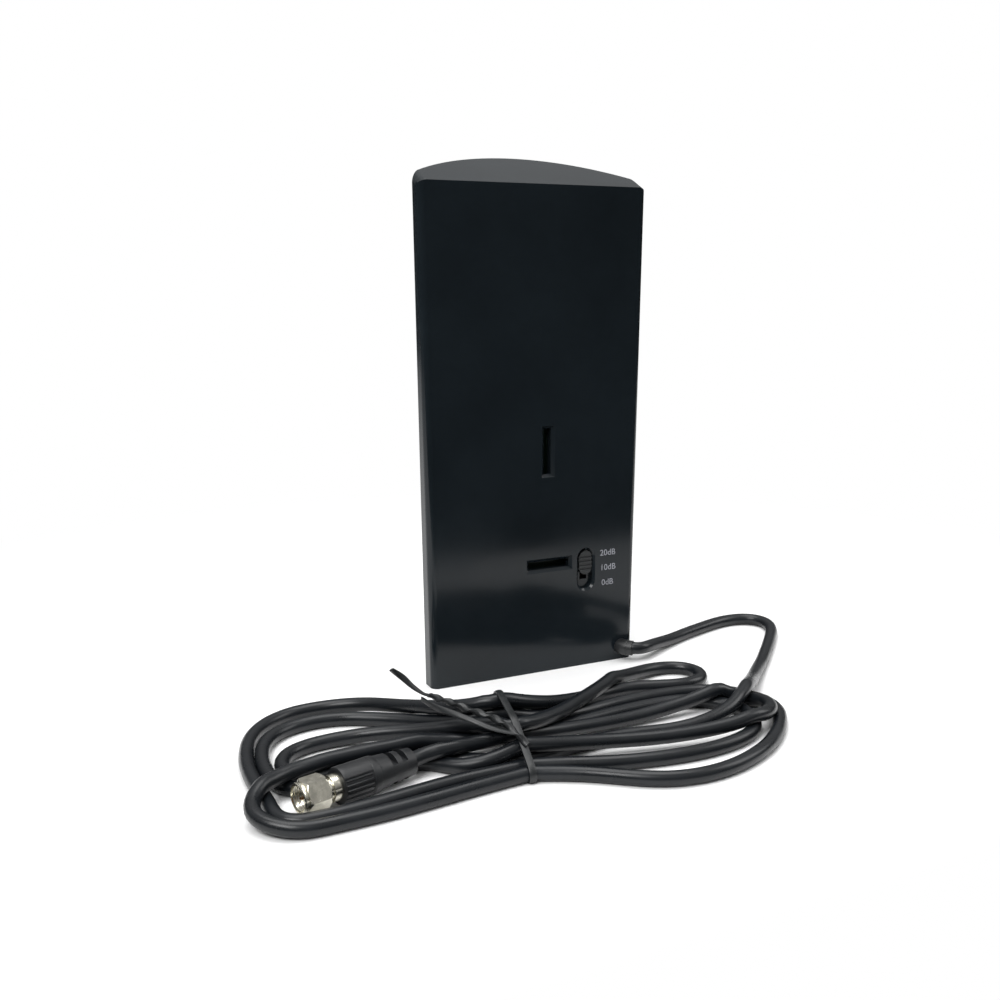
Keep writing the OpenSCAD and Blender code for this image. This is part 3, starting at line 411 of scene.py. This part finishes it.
# colour, lowest and highest roughness, then the size of the broad mottling, the size of the fine grain
# and the depth of the grain, all three in mm
finishes = {
    "gloss_black_housing": dict(colour=(0.0088, 0.0125, 0.0155), rough=(0.11, 0.18),
                                broad=40, grain=0.7, depth=0.004, shine=0.28),
    "gloss_black_cover": dict(colour=(0.0088, 0.0125, 0.0155), rough=(0.1, 0.17),
                              broad=45, grain=0.9, depth=0.003, shine=0.28),
    "circuit_board": dict(colour=(0.006, 0.02, 0.01), rough=(0.3, 0.45),
                          broad=12, grain=0.4, depth=0.02),
    "plated_copper": dict(colour=(0.62, 0.42, 0.2), rough=(0.25, 0.4),
                          broad=8, grain=0.3, depth=0.01, metal=1),
    "ferrite": dict(colour=(0.035, 0.035, 0.038), rough=(0.45, 0.65), broad=3, grain=0.2, depth=0.03),
    "enamelled_wire": dict(colour=(0.45, 0.13, 0.04), rough=(0.2, 0.35),
                           broad=3, grain=0.3, depth=0.005, metal=0.7),
    "tinned_steel": dict(colour=(0.62, 0.63, 0.64), rough=(0.25, 0.42),
                         broad=6, grain=0.25, depth=0.01, metal=1),
    "capacitor_sleeve": dict(colour=(0.02, 0.03, 0.06), rough=(0.25, 0.4),
                             broad=5, grain=0.3, depth=0.01),
    "chip_body": dict(colour=(0.025, 0.025, 0.027), rough=(0.5, 0.65), broad=2, grain=0.12, depth=0.02),
    "phenolic_base": dict(colour=(0.03, 0.016, 0.01), rough=(0.4, 0.6), broad=3, grain=0.2, depth=0.02),
    "satin_black_knob": dict(colour=(0.016, 0.018, 0.019), rough=(0.28, 0.4),
                             broad=5, grain=0.25, depth=0.008),
    "zinc_screw": dict(colour=(0.5, 0.51, 0.5), rough=(0.3, 0.45),
                       broad=2, grain=0.15, depth=0.01, metal=1),
    "black_relief": dict(colour=(0.014, 0.015, 0.016), rough=(0.35, 0.5),
                         broad=4, grain=0.25, depth=0.01),
    "foam_core": dict(colour=(0.8, 0.79, 0.74), rough=(0.55, 0.7), broad=2, grain=0.15, depth=0.03),
    "copper_braid": dict(colour=(0.6, 0.3, 0.15), rough=(0.3, 0.45),
                         broad=2, grain=0.15, depth=0.08, metal=1),
    "black_jacket": dict(colour=(0.007, 0.0085, 0.0105), rough=(0.24, 0.38),
                         broad=14, grain=0.35, depth=0.012, shine=0.38),
    "black_tie": dict(colour=(0.009, 0.0105, 0.0115), rough=(0.32, 0.5),
                      broad=5, grain=0.3, depth=0.04),
    "black_boot": dict(colour=(0.0085, 0.0095, 0.011), rough=(0.36, 0.52),
                       broad=7, grain=0.3, depth=0.02),
    "nickel_plate": dict(colour=(0.68, 0.655, 0.56), rough=(0.14, 0.3),
                         broad=2.5, grain=0.2, depth=0.006, metal=1),
    "copper_pin": dict(colour=(0.72, 0.42, 0.22), rough=(0.2, 0.32),
                       broad=2, grain=0.15, depth=0.004, metal=1),
}


def makeFinish(name, look):
    material, tree, shader, place = newMaterial(name)
    broad = addNoise(tree, place, 1000 / look["broad"], 4)
    fine = addNoise(tree, place, 1000 / look["grain"], 2)
    r, g, b = look["colour"]
    dark, light = mottle["darker"], mottle["lighter"]
    colour = addRamp(tree, broad, (r * dark, g * dark, b * dark), (r * light, g * light, b * light))
    tree.links.new(colour, shader.inputs["Base Color"])
    low, high = look["rough"]
    rough = addRamp(tree, broad, (low, low, low), (high, high, high))
    tree.links.new(rough, shader.inputs["Roughness"])
    addBump(tree, fine, shader, look["depth"])
    shader.inputs["Metallic"].default_value = look.get("metal", 0)
    shader.inputs["Specular IOR Level"].default_value = look.get("shine", mottle["shine"])
    return material


finish = {name: makeFinish(name, look) for name, look in finishes.items()}

# the pieces that keep their CAD shape
for name, slot in {
        "radiator_board": "circuit_board", "amp_board": "circuit_board", "upper_radiator": "plated_copper",
        "lower_radiator": "plated_copper", "balun_core": "ferrite", "balun_wires": "enamelled_wire",
        "shield_can": "tinned_steel", "filter_caps": "capacitor_sleeve", "chip_parts": "chip_body",
        "switch_frame": "tinned_steel", "switch_base": "phenolic_base", "switch_pins": "tinned_steel",
        "switch_wiper": "plated_copper", "lead_core": "foam_core", "lead_braid": "copper_braid",
        "plug_insulator": "foam_core", "plug_pin": "copper_pin"}.items():
    paint(nodes[name], finish[slot])
paint(leadTube, finish["black_jacket"])
print("finishes made:", len(finish))


panelLook = {"edgeEase": 0.35, "coverEase": 0.25}
paint(solidCopy("front_shell", "panelFront", "antenna", panelLook["edgeEase"]),
      finish["gloss_black_housing"])
paint(solidCopy("rear_cover", "panelCover", "antenna", panelLook["coverEase"]),
      finish["gloss_black_cover"])
print("panel dressed")


def newTree(name, sockets):
    # a node tree for repeats, with its inputs
    tree = bpy.data.node_groups.new(name, "GeometryNodeTree")
    tree.interface.new_socket("Geometry", in_out="OUTPUT", socket_type="NodeSocketGeometry")
    tree.interface.new_socket("Geometry", in_out="INPUT", socket_type="NodeSocketGeometry")
    for label, kind in sockets:
        tree.interface.new_socket(label, in_out="INPUT", socket_type=kind)
    return tree, tree.nodes.new("NodeGroupInput"), tree.nodes.new("NodeGroupOutput")


def addMath(tree, operation, a, b):
    node = tree.nodes.new("ShaderNodeMath")
    node.operation = operation
    for socket, value in ((node.inputs[0], a), (node.inputs[1], b)):
        if isinstance(value, (int, float)):
            socket.default_value = value
        elif value is not None:
            tree.links.new(value, socket)
    return node.outputs[0]


def endTree(tree, geometry, material, result):
    real = tree.nodes.new("GeometryNodeRealizeInstances")
    coat = tree.nodes.new("GeometryNodeSetMaterial")
    tree.links.new(geometry, real.inputs["Geometry"])
    tree.links.new(real.outputs["Geometry"], coat.inputs["Geometry"])
    tree.links.new(material, coat.inputs["Material"])
    tree.links.new(coat.outputs["Geometry"], result.inputs["Geometry"])


def arcTree():
    # copies of a shape on an arc about the local x axis
    tree, given, result = newTree("arcOfParts", [
        ("Part", "NodeSocketObject"), ("Count", "NodeSocketInt"), ("Pitch", "NodeSocketFloat"),
        ("Start", "NodeSocketFloat"), ("Radius", "NodeSocketFloat"), ("Material", "NodeSocketMaterial")])
    spots = tree.nodes.new("GeometryNodePoints")
    index = tree.nodes.new("GeometryNodeInputIndex")
    tree.links.new(given.outputs["Count"], spots.inputs["Count"])
    angle = addMath(tree, "ADD", addMath(tree, "MULTIPLY", index.outputs[0], given.outputs["Pitch"]),
                    given.outputs["Start"])
    place = tree.nodes.new("ShaderNodeCombineXYZ")
    tree.links.new(addMath(tree, "MULTIPLY", addMath(tree, "SINE", angle, None), addMath(
        tree, "MULTIPLY", given.outputs["Radius"], -1)), place.inputs["Y"])
    tree.links.new(addMath(tree, "MULTIPLY", addMath(tree, "COSINE", angle, None), given.outputs["Radius"]),
                   place.inputs["Z"])
    turn = tree.nodes.new("ShaderNodeCombineXYZ")
    tree.links.new(angle, turn.inputs["X"])
    tree.links.new(place.outputs[0], spots.inputs["Position"])
    part = tree.nodes.new("GeometryNodeObjectInfo")
    tree.links.new(given.outputs["Part"], part.inputs["Object"])
    copies = tree.nodes.new("GeometryNodeInstanceOnPoints")
    tree.links.new(spots.outputs[0], copies.inputs["Points"])
    tree.links.new(part.outputs["Geometry"], copies.inputs["Instance"])
    tree.links.new(turn.outputs[0], copies.inputs["Rotation"])
    endTree(tree, copies.outputs["Instances"], given.outputs["Material"], result)
    return tree


def placesTree():
    # copies of a shape on every point of the given mesh
    tree, given, result = newTree("partsOnPlaces", [
        ("Part", "NodeSocketObject"), ("Turn", "NodeSocketVector"), ("Material", "NodeSocketMaterial")])
    part = tree.nodes.new("GeometryNodeObjectInfo")
    tree.links.new(given.outputs["Part"], part.inputs["Object"])
    spots = tree.nodes.new("GeometryNodeMeshToPoints")
    tree.links.new(given.outputs["Geometry"], spots.inputs["Mesh"])
    copies = tree.nodes.new("GeometryNodeInstanceOnPoints")
    tree.links.new(spots.outputs[0], copies.inputs["Points"])
    tree.links.new(part.outputs["Geometry"], copies.inputs["Instance"])
    tree.links.new(given.outputs["Turn"], copies.inputs["Rotation"])
    endTree(tree, copies.outputs["Instances"], given.outputs["Material"], result)
    return tree


def runTree(name, tree, values, body, start=None):
    mesh = bpy.data.meshes.new(name)
    if start:
        mesh.from_pydata(start, [], [])
    piece = bpy.data.objects.new(name, mesh)
    bpy.context.collection.objects.link(piece)
    modifier = piece.modifiers.new(name, "NODES")
    modifier.node_group = tree
    for item in tree.interface.items_tree:
        if item.in_out == "INPUT" and item.name in values:
            modifier[item.identifier] = values[item.name]
    bakeModifiers(piece)
    softenEdges(piece.data, 35)
    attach(piece, body)
    return piece


def lathe(profile, sides, shape=None):
    # turns (along, radius) points about the local x axis, and shape may change the radius at an angle
    verts = []
    for x, r in profile:
        for k in range(sides):
            angle = 2 * math.pi * k / sides
            rr = shape(x, angle, r) if shape else r
            verts.append((x, -rr * math.sin(angle), rr * math.cos(angle)))
    n = len(profile)
    faces = [(i * sides + k, i * sides + (k + 1) % sides, ((i + 1) % n) * sides + (k + 1) % sides,
              ((i + 1) % n) * sides + k) for i in range(n) for k in range(sides)]
    return verts, faces


def closedMesh(name, verts, faces, scale=mm, smooth=35):
    mesh = bpy.data.meshes.new(name)
    mesh.from_pydata([tuple(c * scale for c in v) for v in verts], [], faces)
    bm = bmesh.new()
    bm.from_mesh(mesh)
    bmesh.ops.remove_doubles(bm, verts=bm.verts, dist=1e-7)
    bmesh.ops.recalc_face_normals(bm, faces=bm.faces)
    bm.to_mesh(mesh)
    bm.free()
    softenEdges(mesh, smooth)
    return mesh


def asPiece(name, mesh, body, material, replaces=(), placed=None):
    if placed:
        mesh.transform(placed)
    piece = bpy.data.objects.new(name, mesh)
    bpy.context.collection.objects.link(piece)
    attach(piece, body)
    if replaces:
        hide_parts(*replaces)
    return paint(piece, material)


def template(name, mesh):
    # a shape that is only copied: it is taken away again once the copies are made
    part = bpy.data.objects.new(name, mesh)
    bpy.context.collection.objects.link(part)
    return part


plugPlace = Matrix.Translation(Vector(plug["at"]) * mm) @ Matrix.Rotation(math.radians(plug["turn"]), 4, "Z")
arcParts, placedParts = arcTree(), placesTree()


plugLook = {"collarStart": 14.55, "collarEnd": 28.95, "collarRadius": 6.4, "ribs": 5, "ribPitch": 16.1,
            "ribDepth": 0.5, "ribWidth": 0.9, "ribLength": 11.4, "nutFlats": 11.0, "nutLength": 9.6,
            "nutLip": 1.4, "threadDepth": 0.32, "threadPitch": 0.85, "boreRadius": 4.5, "neckRadius": 3.46,
            "recess": 2, "threadFrom": 0.6, "threadTo": 2.1, "threadRoom": 2.6, "threadStep": 0.1,
            "collarBore": 3.2, "collarSides": 120, "nutSides": 96, "bootEase": 0.35, "ferruleEase": 0.15}


def makeCollar():
    look = plugLook
    x0, x1, r = look["collarStart"], look["collarEnd"], look["collarRadius"]
    ribEnd = x0 + look["ribLength"]
    half = look["ribs"] * look["ribPitch"] / 2

    def ribbed(x, angle, radius):
        # the two flanks lie lower, and the ribs stand on them
        away = min(abs(math.degrees(angle) - 90), abs(math.degrees(angle) - 270))
        if away < half and x0 + 0.25 < x < ribEnd:
            slope = min((half - away) / 3, 1) * min((ribEnd - x) / 0.5, 1)
            return radius - look["ribDepth"] * max(slope, 0)
        return radius
    profile = [(x0, look["collarBore"]), (x0, r - 0.45), (x0 + 0.15, r - 0.15), (x0 + 0.45, r)]
    profile += [(x0 + 0.45 + k * (ribEnd - x0 - 0.9) / 8, r) for k in range(1, 9)]
    profile += [(ribEnd - 0.2, r), (ribEnd, r), (ribEnd + 0.15, r - 0.12), (ribEnd + 0.3, r),
                (x1 - 0.6, r), (x1 - 0.2, r - 0.12), (x1, r - 0.5), (x1, look["collarBore"])]
    verts, faces = lathe(profile, look["collarSides"], ribbed)
    asPiece("plugCollar", closedMesh("plugCollar", verts, faces), "antenna",
            finish["black_boot"], ["plug_collar"], plugPlace)
    ribProfile = [(-0.5, 0.0), (-0.42, 0.3), (-0.2, 0.45), (0.2, 0.45), (0.42, 0.3), (0.5, 0.0)]
    w, d = look["ribWidth"], look["ribDepth"] + 0.25
    stations = [(x0 + 0.5, 0.55), (x0 + 0.9, 1.0), (ribEnd - 1.1, 1.0), (ribEnd - 0.35, 0.5)]
    verts = [(x, y * w, (z / 0.45) * d * tall - 0.25) for x, tall in stations for y, z in ribProfile]
    n = len(ribProfile)
    faces = [(i * n + k, i * n + (k + 1) % n, (i + 1) * n + (k + 1) % n, (i + 1) * n + k)
             for i in range(len(stations) - 1) for k in range(n)]
    faces += [tuple(range(n)), tuple((len(stations) - 1) * n + k for k in range(n))]
    rib = template("collarRib", closedMesh("collarRib", verts, faces))
    for number, middle in enumerate((90, 270)):
        ribs = runTree("plugRibs%d" % (number + 1), arcParts, {
            "Part": rib, "Count": look["ribs"], "Pitch": math.radians(look["ribPitch"]),
            "Start": math.radians(middle - look["ribPitch"] * (look["ribs"] - 1) / 2),
            "Radius": (r - look["ribDepth"]) * mm, "Material": finish["black_boot"]}, "antenna")
        ribs.data.transform(plugPlace)
    bpy.data.objects.remove(rib)


def makeNut():
    look = plugLook
    flat, length, lip, bore = look["nutFlats"] / 2, look["nutLength"], look["nutLip"], look["boreRadius"]
    neck, pitch = look["neckRadius"], look["threadPitch"]

    def hexed(x, angle, radius):
        # a thread in the bore, a round lip, and a hexagon that is cut back towards both its ends
        if radius < flat - 0.6 or x < lip:
            if radius < bore + 0.01 and look["threadFrom"] < x < length - look["threadTo"]:
                return radius - look["threadDepth"] * 0.5 * (1 - math.cos(2 * math.pi * x / pitch - angle))
            return radius
        turn = (math.degrees(angle) + 90) % 60 - 30
        hexagon = flat / math.cos(math.radians(turn))
        ends = min(x - lip, length - x)
        return min(hexagon, flat - 0.12 + 1.05 * max(ends, 0) + 0.1)
    profile = [(0, bore), (0.0, bore + 0.35), (0.25, flat - 0.15), (0.5, flat), (lip - 0.3, flat),
               (lip - 0.02, flat - 0.25), (lip + 0.02, flat - 0.1)]
    profile += [(lip + 0.1 + k * 0.15, flat) for k in range(7)]
    profile += [(lip + 1.6 + k * (length - lip - 3.2) / 5, flat) for k in range(6)]
    profile += [(length - 1.2 + k * 0.15, flat) for k in range(8)]
    inner = length - look["recess"]
    profile += [(length, flat - 0.3), (length, neck), (inner, neck), (inner, bore)]
    threads = int((length - look["threadRoom"]) / look["threadStep"])
    profile += [(length - look["threadTo"] - k * look["threadStep"], bore) for k in range(threads)]
    verts, faces = lathe(profile, look["nutSides"], hexed)
    asPiece("couplingNut", closedMesh("couplingNut", verts, faces, smooth=28), "nut",
            finish["nickel_plate"], ["coupling_nut"], plugPlace)


makeCollar()
makeNut()
paint(solidCopy("plug_boot", "plugBoot", "antenna", plugLook["bootEase"]), finish["black_boot"])
paint(solidCopy("plug_ferrule", "plugFerrule", "antenna", plugLook["ferruleEase"]),
      finish["nickel_plate"])
print("plug made")


# the twist tie goes round the middle of the hank: its points are (along, across, height) on the hank
# with each wire's width, thickness and turns
tieLook = {"wide": 2.6, "thick": 0.9, "slack": 0.05, "step": 1.5, "reach": 40, "sides": 10,
           "knot": (-1.8, -17, 13.8), "neck": (2.9, 1.7, 3.5), "tailLong": (2.3, 1.0, 0.4),
           "tailShort": (2.3, 1.0, 0.3)}
tieNeckWay = [(-4.4, -13.4, 16), (-7.6, -10, 17.6), (-11.8, -7.4, 19), (-16, -4, 20), (-19.8, 1.4, 20.6),
              (-23.4, 7, 20.6), (-25.4, 11.4, 20.6)]
tieLongWay = [(-25.4, 11.4, 20.6), (-28, 9.8, 22), (-31.9, 10.2, 25), (-35.7, 10.4, 29), (-40, 9, 33)]
tieShortWay = [(-9, -14.5, 15.6), (-15, -10.5, 17.6), (-21, -4.6, 19), (-26, 3, 19.4), (-28.5, 11, 19.6)]


def hullAround(points, reach):
    # the tight loop round a set of circles, as a polygon
    cloud = [(u + reach * math.cos(t), w + reach * math.sin(t)) for u, w in points
             for t in np.linspace(0, 2 * math.pi, 24, endpoint=False)]
    cloud = sorted(set(cloud))

    def half(order):
        out = []
        for p in order:
            while len(out) > 1 and ((out[-1][0] - out[-2][0]) * (p[1] - out[-2][1])
                                    - (out[-1][1] - out[-2][1]) * (p[0] - out[-2][0])) <= 0:
                out.pop()
            out.append(p)
        return out[:-1]
    return half(cloud) + half(cloud[::-1])


def makeTie():
    # the ring of the band round every run that passes the middle of the hank
    turn = math.radians(hank["turn"])
    gone = leadLine[:, :2] - np.array(hank["at"])
    along = gone[:, 0] * math.cos(turn) + gone[:, 1] * math.sin(turn)
    across = -gone[:, 0] * math.sin(turn) + gone[:, 1] * math.cos(turn)
    runs = [(float(across[i]), float(leadLine[i, 2])) for i in range(len(along) - 1)
            if along[i] * along[i + 1] <= 0 and abs(across[i]) < tieLook["reach"]]
    loop = hullAround(runs, lead["diameter"] / 2 + tieLook["thick"] / 2 + tieLook["slack"])
    ring = np.array([inHank(0, u, max(w, tieLook["thick"] / 2)) for u, w in loop] * 2)[:len(loop) + 1]
    return evenSteps(ring, tieLook["step"]), len(runs)


tieRing, tieRuns = makeTie()
print("tie goes round", tieRuns, "runs")


def ribbonRing(name, ring, wide, thick):
    # a closed flat band that follows the ring, upright to it
    n = len(ring) - 1
    middle = ring[:n].mean(0)
    turn = math.radians(hank["turn"])
    side = np.array((math.cos(turn), math.sin(turn), 0))
    verts, section = [], [(-0.5, -0.35), (-0.35, -0.5), (0.35, -0.5), (0.5, -0.35), (0.5, 0.35),
                          (0.35, 0.5), (0.0, 0.62), (-0.35, 0.5), (-0.5, 0.35)]
    for i in range(n):
        along = ring[(i + 1) % n] - ring[i - 1]
        along /= np.linalg.norm(along)
        out = np.cross(along, side)
        out /= np.linalg.norm(out)
        if out.dot(ring[i] - middle) < 0:
            out = -out
        for a, b in section:
            verts.append((ring[i] + side * a * wide + out * b * thick) * mm)
    m = len(section)
    faces = [(i * m + k, i * m + (k + 1) % m, ((i + 1) % n) * m + (k + 1) % m, ((i + 1) % n) * m + k)
             for i in range(n) for k in range(m)]
    return closedMesh(name, verts, faces, 1.0, 50)


asPiece("tieBand", ribbonRing("tieBand", tieRing, tieLook["wide"], tieLook["thick"]), "antenna",
        finish["black_tie"], ["twist_tie"])


def tieWire(name, points, across, section):
    # a stretch of the tie with a flat section (wide, thick, turns)
    path = roundedLine([inHank(*p) for p in points], 1.0) * mm
    wide, thick, turns = section
    paint(tube(name, path, across * mm, tieLook["sides"], (wide * mm, thick * mm, turns)),
          finish["black_tie"])


tieWire("tieNeck", [(1.2, -20.5, 10.8), tieLook["knot"]] + tieNeckWay, 2.6, tieLook["neck"])
tieWire("tieTailLong", tieLongWay, 2.0, tieLook["tailLong"])
tieWire("tieTailShort", [tieLook["knot"]] + tieShortWay, 2.0, tieLook["tailShort"])
print("tie made")


smallLook = {"knobEase": 0.15, "reliefEase": 0.2}
paint(solidCopy("switch_knob", "gainKnob", "gain_slider", smallLook["knobEase"]),
      finish["satin_black_knob"])
paint(solidCopy("cable_grommet", "strainRelief", "antenna", smallLook["reliefEase"]),
      finish["black_relief"])

screwLook = {"head": 4.2, "thick": 1.4, "shank": 2.2, "length": 5.6, "fromEnd": 6, "sides": 20}


def makeScrews():
    # a round-headed screw, copied to the eight holes of the boards
    look = screwLook
    low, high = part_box("board_screws")
    insetX, holes = look["head"] / 2 * mm, []
    x0, x1 = low[0] + insetX, high[0] - insetX
    boards = [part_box("amp_board"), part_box("radiator_board")]
    for boardLow, boardHigh in boards:
        for z in (boardLow[2] + look["fromEnd"] * mm, boardHigh[2] - look["fromEnd"] * mm):
            holes += [(x0, boardLow[1], z), (x1, boardLow[1], z)]
    r, t, s = look["head"] / 2, look["thick"], look["shank"] / 2
    profile = [(-t, 0.02), (-t, r * 0.45), (-t * 0.92, r * 0.72), (-t * 0.6, r * 0.94), (-t * 0.25, r),
               (0, r * 0.98), (0, s)]
    profile += [(0.3 + k * 0.225, s if k % 2 else s - 0.18) for k in range(22)]
    profile += [(look["length"] - 0.1, s * 0.5), (look["length"], 0.02)]
    verts, faces = lathe(profile, look["sides"])
    screw = template("screw", closedMesh("screw", verts, faces))
    values = {"Part": screw, "Turn": (0, 0, math.radians(90)), "Material": finish["zinc_screw"]}
    screws = runTree("boardScrews", placedParts, values, "antenna", holes)
    bpy.data.objects.remove(screw)
    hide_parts("board_screws")


makeScrews()
print("small parts made")


# the marks beside the switch: text, then the place across and up in mm
markLook = {"height": 2.75, "proud": 0.06, "face": -12, "sizeToHeight": 1.38, "spacing": 1.02, "rough": 0.45,
            "speck": 5000, "dark": (0.30, 0.31, 0.35), "light": (0.42, 0.43, 0.47),
            "marks": [("20dB", 31.4, 50.9), ("10dB", 31.6, 44.2), ("0dB", 32.4, 37.3)]}


def makeMarks():
    material, tree, shader, place = newMaterial("markInk")
    speck = addNoise(tree, place, markLook["speck"], 2)
    tree.links.new(addRamp(tree, speck, markLook["dark"], markLook["light"]), shader.inputs["Base Color"])
    shader.inputs["Roughness"].default_value = markLook["rough"]
    for text, x, z in markLook["marks"]:
        curve = bpy.data.curves.new("mark" + text, "FONT")
        curve.body = text
        curve.size = markLook["height"] * markLook["sizeToHeight"] * mm
        curve.extrude = markLook["proud"] * mm
        curve.space_character = markLook["spacing"]
        letters = bpy.data.objects.new("mark" + text, curve)
        bpy.context.collection.objects.link(letters)
        bpy.context.view_layer.update()
        mesh = bpy.data.meshes.new_from_object(letters.evaluated_get(bpy.context.evaluated_depsgraph_get()))
        bpy.data.objects.remove(letters)
        spot = (x * mm, markLook["face"] * mm, (z - markLook["height"] / 2) * mm)
        mesh.transform(Matrix.Translation(spot) @ Matrix.Rotation(math.radians(90), 4, "X"))
        asPiece("mark" + text, mesh, "antenna", material)


makeMarks()
print("marks made")


# floor, world and lamps, in metres: the floor fades to white with the distance and in front
studio = {"floorFront": -0.215, "floorBack": 1.6, "floorSide": 1.4, "floorColour": 0.93, "floorRough": 0.6,
          "floorShine": 0.15, "fadeStart": 0.2, "fadeEnd": 0.42, "frontStart": -0.16, "frontEnd": -0.21,
          "worldLow": 0.035, "worldHigh": 0.6, "worldFrom": 0.1, "worldTo": 0.7, "seenWorld": 1.0}
# each lamp: place, aim, size and power
lamps = {"keyLamp": ((-0.7, -0.5, 0.9), (0, -0.05, 0.05), (0.7, 0.5), 9.0),
         "fillLamp": ((0.9, -0.3, 0.7), (0, 0, 0.05), (0.5, 0.6), 3.0),
         "topLamp": ((0.0, 0.1, 1.1), (0, -0.05, 0), (1.0, 0.8), 9.0)}


def makeFloor():
    side, near, far = studio["floorSide"], studio["floorFront"], studio["floorBack"]
    verts = [(-side, near, 0), (side, near, 0), (side, far, 0), (-side, far, 0)]
    mesh = bpy.data.meshes.new("floor")
    mesh.from_pydata(verts, [], [(0, 1, 2, 3)])
    floor = bpy.data.objects.new("floor", mesh)
    bpy.context.collection.objects.link(floor)
    material = bpy.data.materials.new("tabletop")
    material.use_nodes = True
    tree = material.node_tree
    shader = tree.nodes["Principled BSDF"]
    level = studio["floorColour"]
    shader.inputs["Base Color"].default_value = (level, level, level, 1)
    shader.inputs["Roughness"].default_value = studio["floorRough"]
    shader.inputs["Specular IOR Level"].default_value = studio["floorShine"]
    glow = tree.nodes.new("ShaderNodeEmission")
    place = tree.nodes.new("ShaderNodeTexCoord")
    reach = tree.nodes.new("ShaderNodeVectorMath")
    reach.operation = "LENGTH"
    tree.links.new(place.outputs["Object"], reach.inputs[0])
    fade = tree.nodes.new("ShaderNodeMapRange")
    fade.interpolation_type = "SMOOTHSTEP"
    fade.inputs["From Min"].default_value = studio["fadeStart"]
    fade.inputs["From Max"].default_value = studio["fadeEnd"]
    tree.links.new(reach.outputs["Value"], fade.inputs["Value"])
    split = tree.nodes.new("ShaderNodeSeparateXYZ")
    tree.links.new(place.outputs["Object"], split.inputs[0])
    front = tree.nodes.new("ShaderNodeMapRange")
    front.interpolation_type = "SMOOTHSTEP"
    front.inputs["From Min"].default_value = studio["frontStart"]
    front.inputs["From Max"].default_value = studio["frontEnd"]
    tree.links.new(split.outputs["Y"], front.inputs["Value"])
    most = tree.nodes.new("ShaderNodeMath")
    most.operation = "MAXIMUM"
    tree.links.new(fade.outputs["Result"], most.inputs[0])
    tree.links.new(front.outputs["Result"], most.inputs[1])
    path = tree.nodes.new("ShaderNodeLightPath")
    both = tree.nodes.new("ShaderNodeMath")
    both.operation = "MULTIPLY"
    tree.links.new(most.outputs[0], both.inputs[0])
    tree.links.new(path.outputs["Is Camera Ray"], both.inputs[1])
    mix = tree.nodes.new("ShaderNodeMixShader")
    tree.links.new(both.outputs[0], mix.inputs["Fac"])
    tree.links.new(shader.outputs[0], mix.inputs[1])
    tree.links.new(glow.outputs[0], mix.inputs[2])
    tree.links.new(mix.outputs[0], tree.nodes["Material Output"].inputs["Surface"])
    floor.data.materials.append(material)


def makeWorld():
    world = bpy.data.worlds.new("studio")
    bpy.context.scene.world = world
    world.use_nodes = True
    tree = world.node_tree
    back = tree.nodes["Background"]
    place = tree.nodes.new("ShaderNodeTexCoord")
    split = tree.nodes.new("ShaderNodeSeparateXYZ")
    tree.links.new(place.outputs["Generated"], split.inputs[0])
    height = tree.nodes.new("ShaderNodeMapRange")
    height.inputs["From Min"].default_value = studio["worldFrom"]
    height.inputs["From Max"].default_value = studio["worldTo"]
    height.inputs["To Min"].default_value = studio["worldLow"]
    height.inputs["To Max"].default_value = studio["worldHigh"]
    tree.links.new(split.outputs["Z"], height.inputs["Value"])
    path = tree.nodes.new("ShaderNodeLightPath")
    pick = tree.nodes.new("ShaderNodeMix")
    pick.data_type = "FLOAT"
    tree.links.new(path.outputs["Is Camera Ray"], pick.inputs[0])
    tree.links.new(height.outputs["Result"], pick.inputs[2])
    pick.inputs[3].default_value = studio["seenWorld"]
    tree.links.new(pick.outputs[0], back.inputs["Strength"])
    back.inputs["Color"].default_value = (1, 1, 1, 1)


def addLamp(name, spot, aim, size, power):
    light = bpy.data.lights.new(name, "AREA")
    light.shape = "RECTANGLE"
    light.size, light.size_y = size
    light.energy = power
    lamp = bpy.data.objects.new(name, light)
    bpy.context.collection.objects.link(lamp)
    lamp.location = spot
    lamp.rotation_euler = (Vector(aim) - Vector(spot)).to_track_quat("-Z", "Y").to_euler()


makeFloor()
makeWorld()
for lampName, values in lamps.items():
    addLamp(lampName, *values)
bpy.context.scene.view_settings.view_transform = "Standard"
print("studio lit")
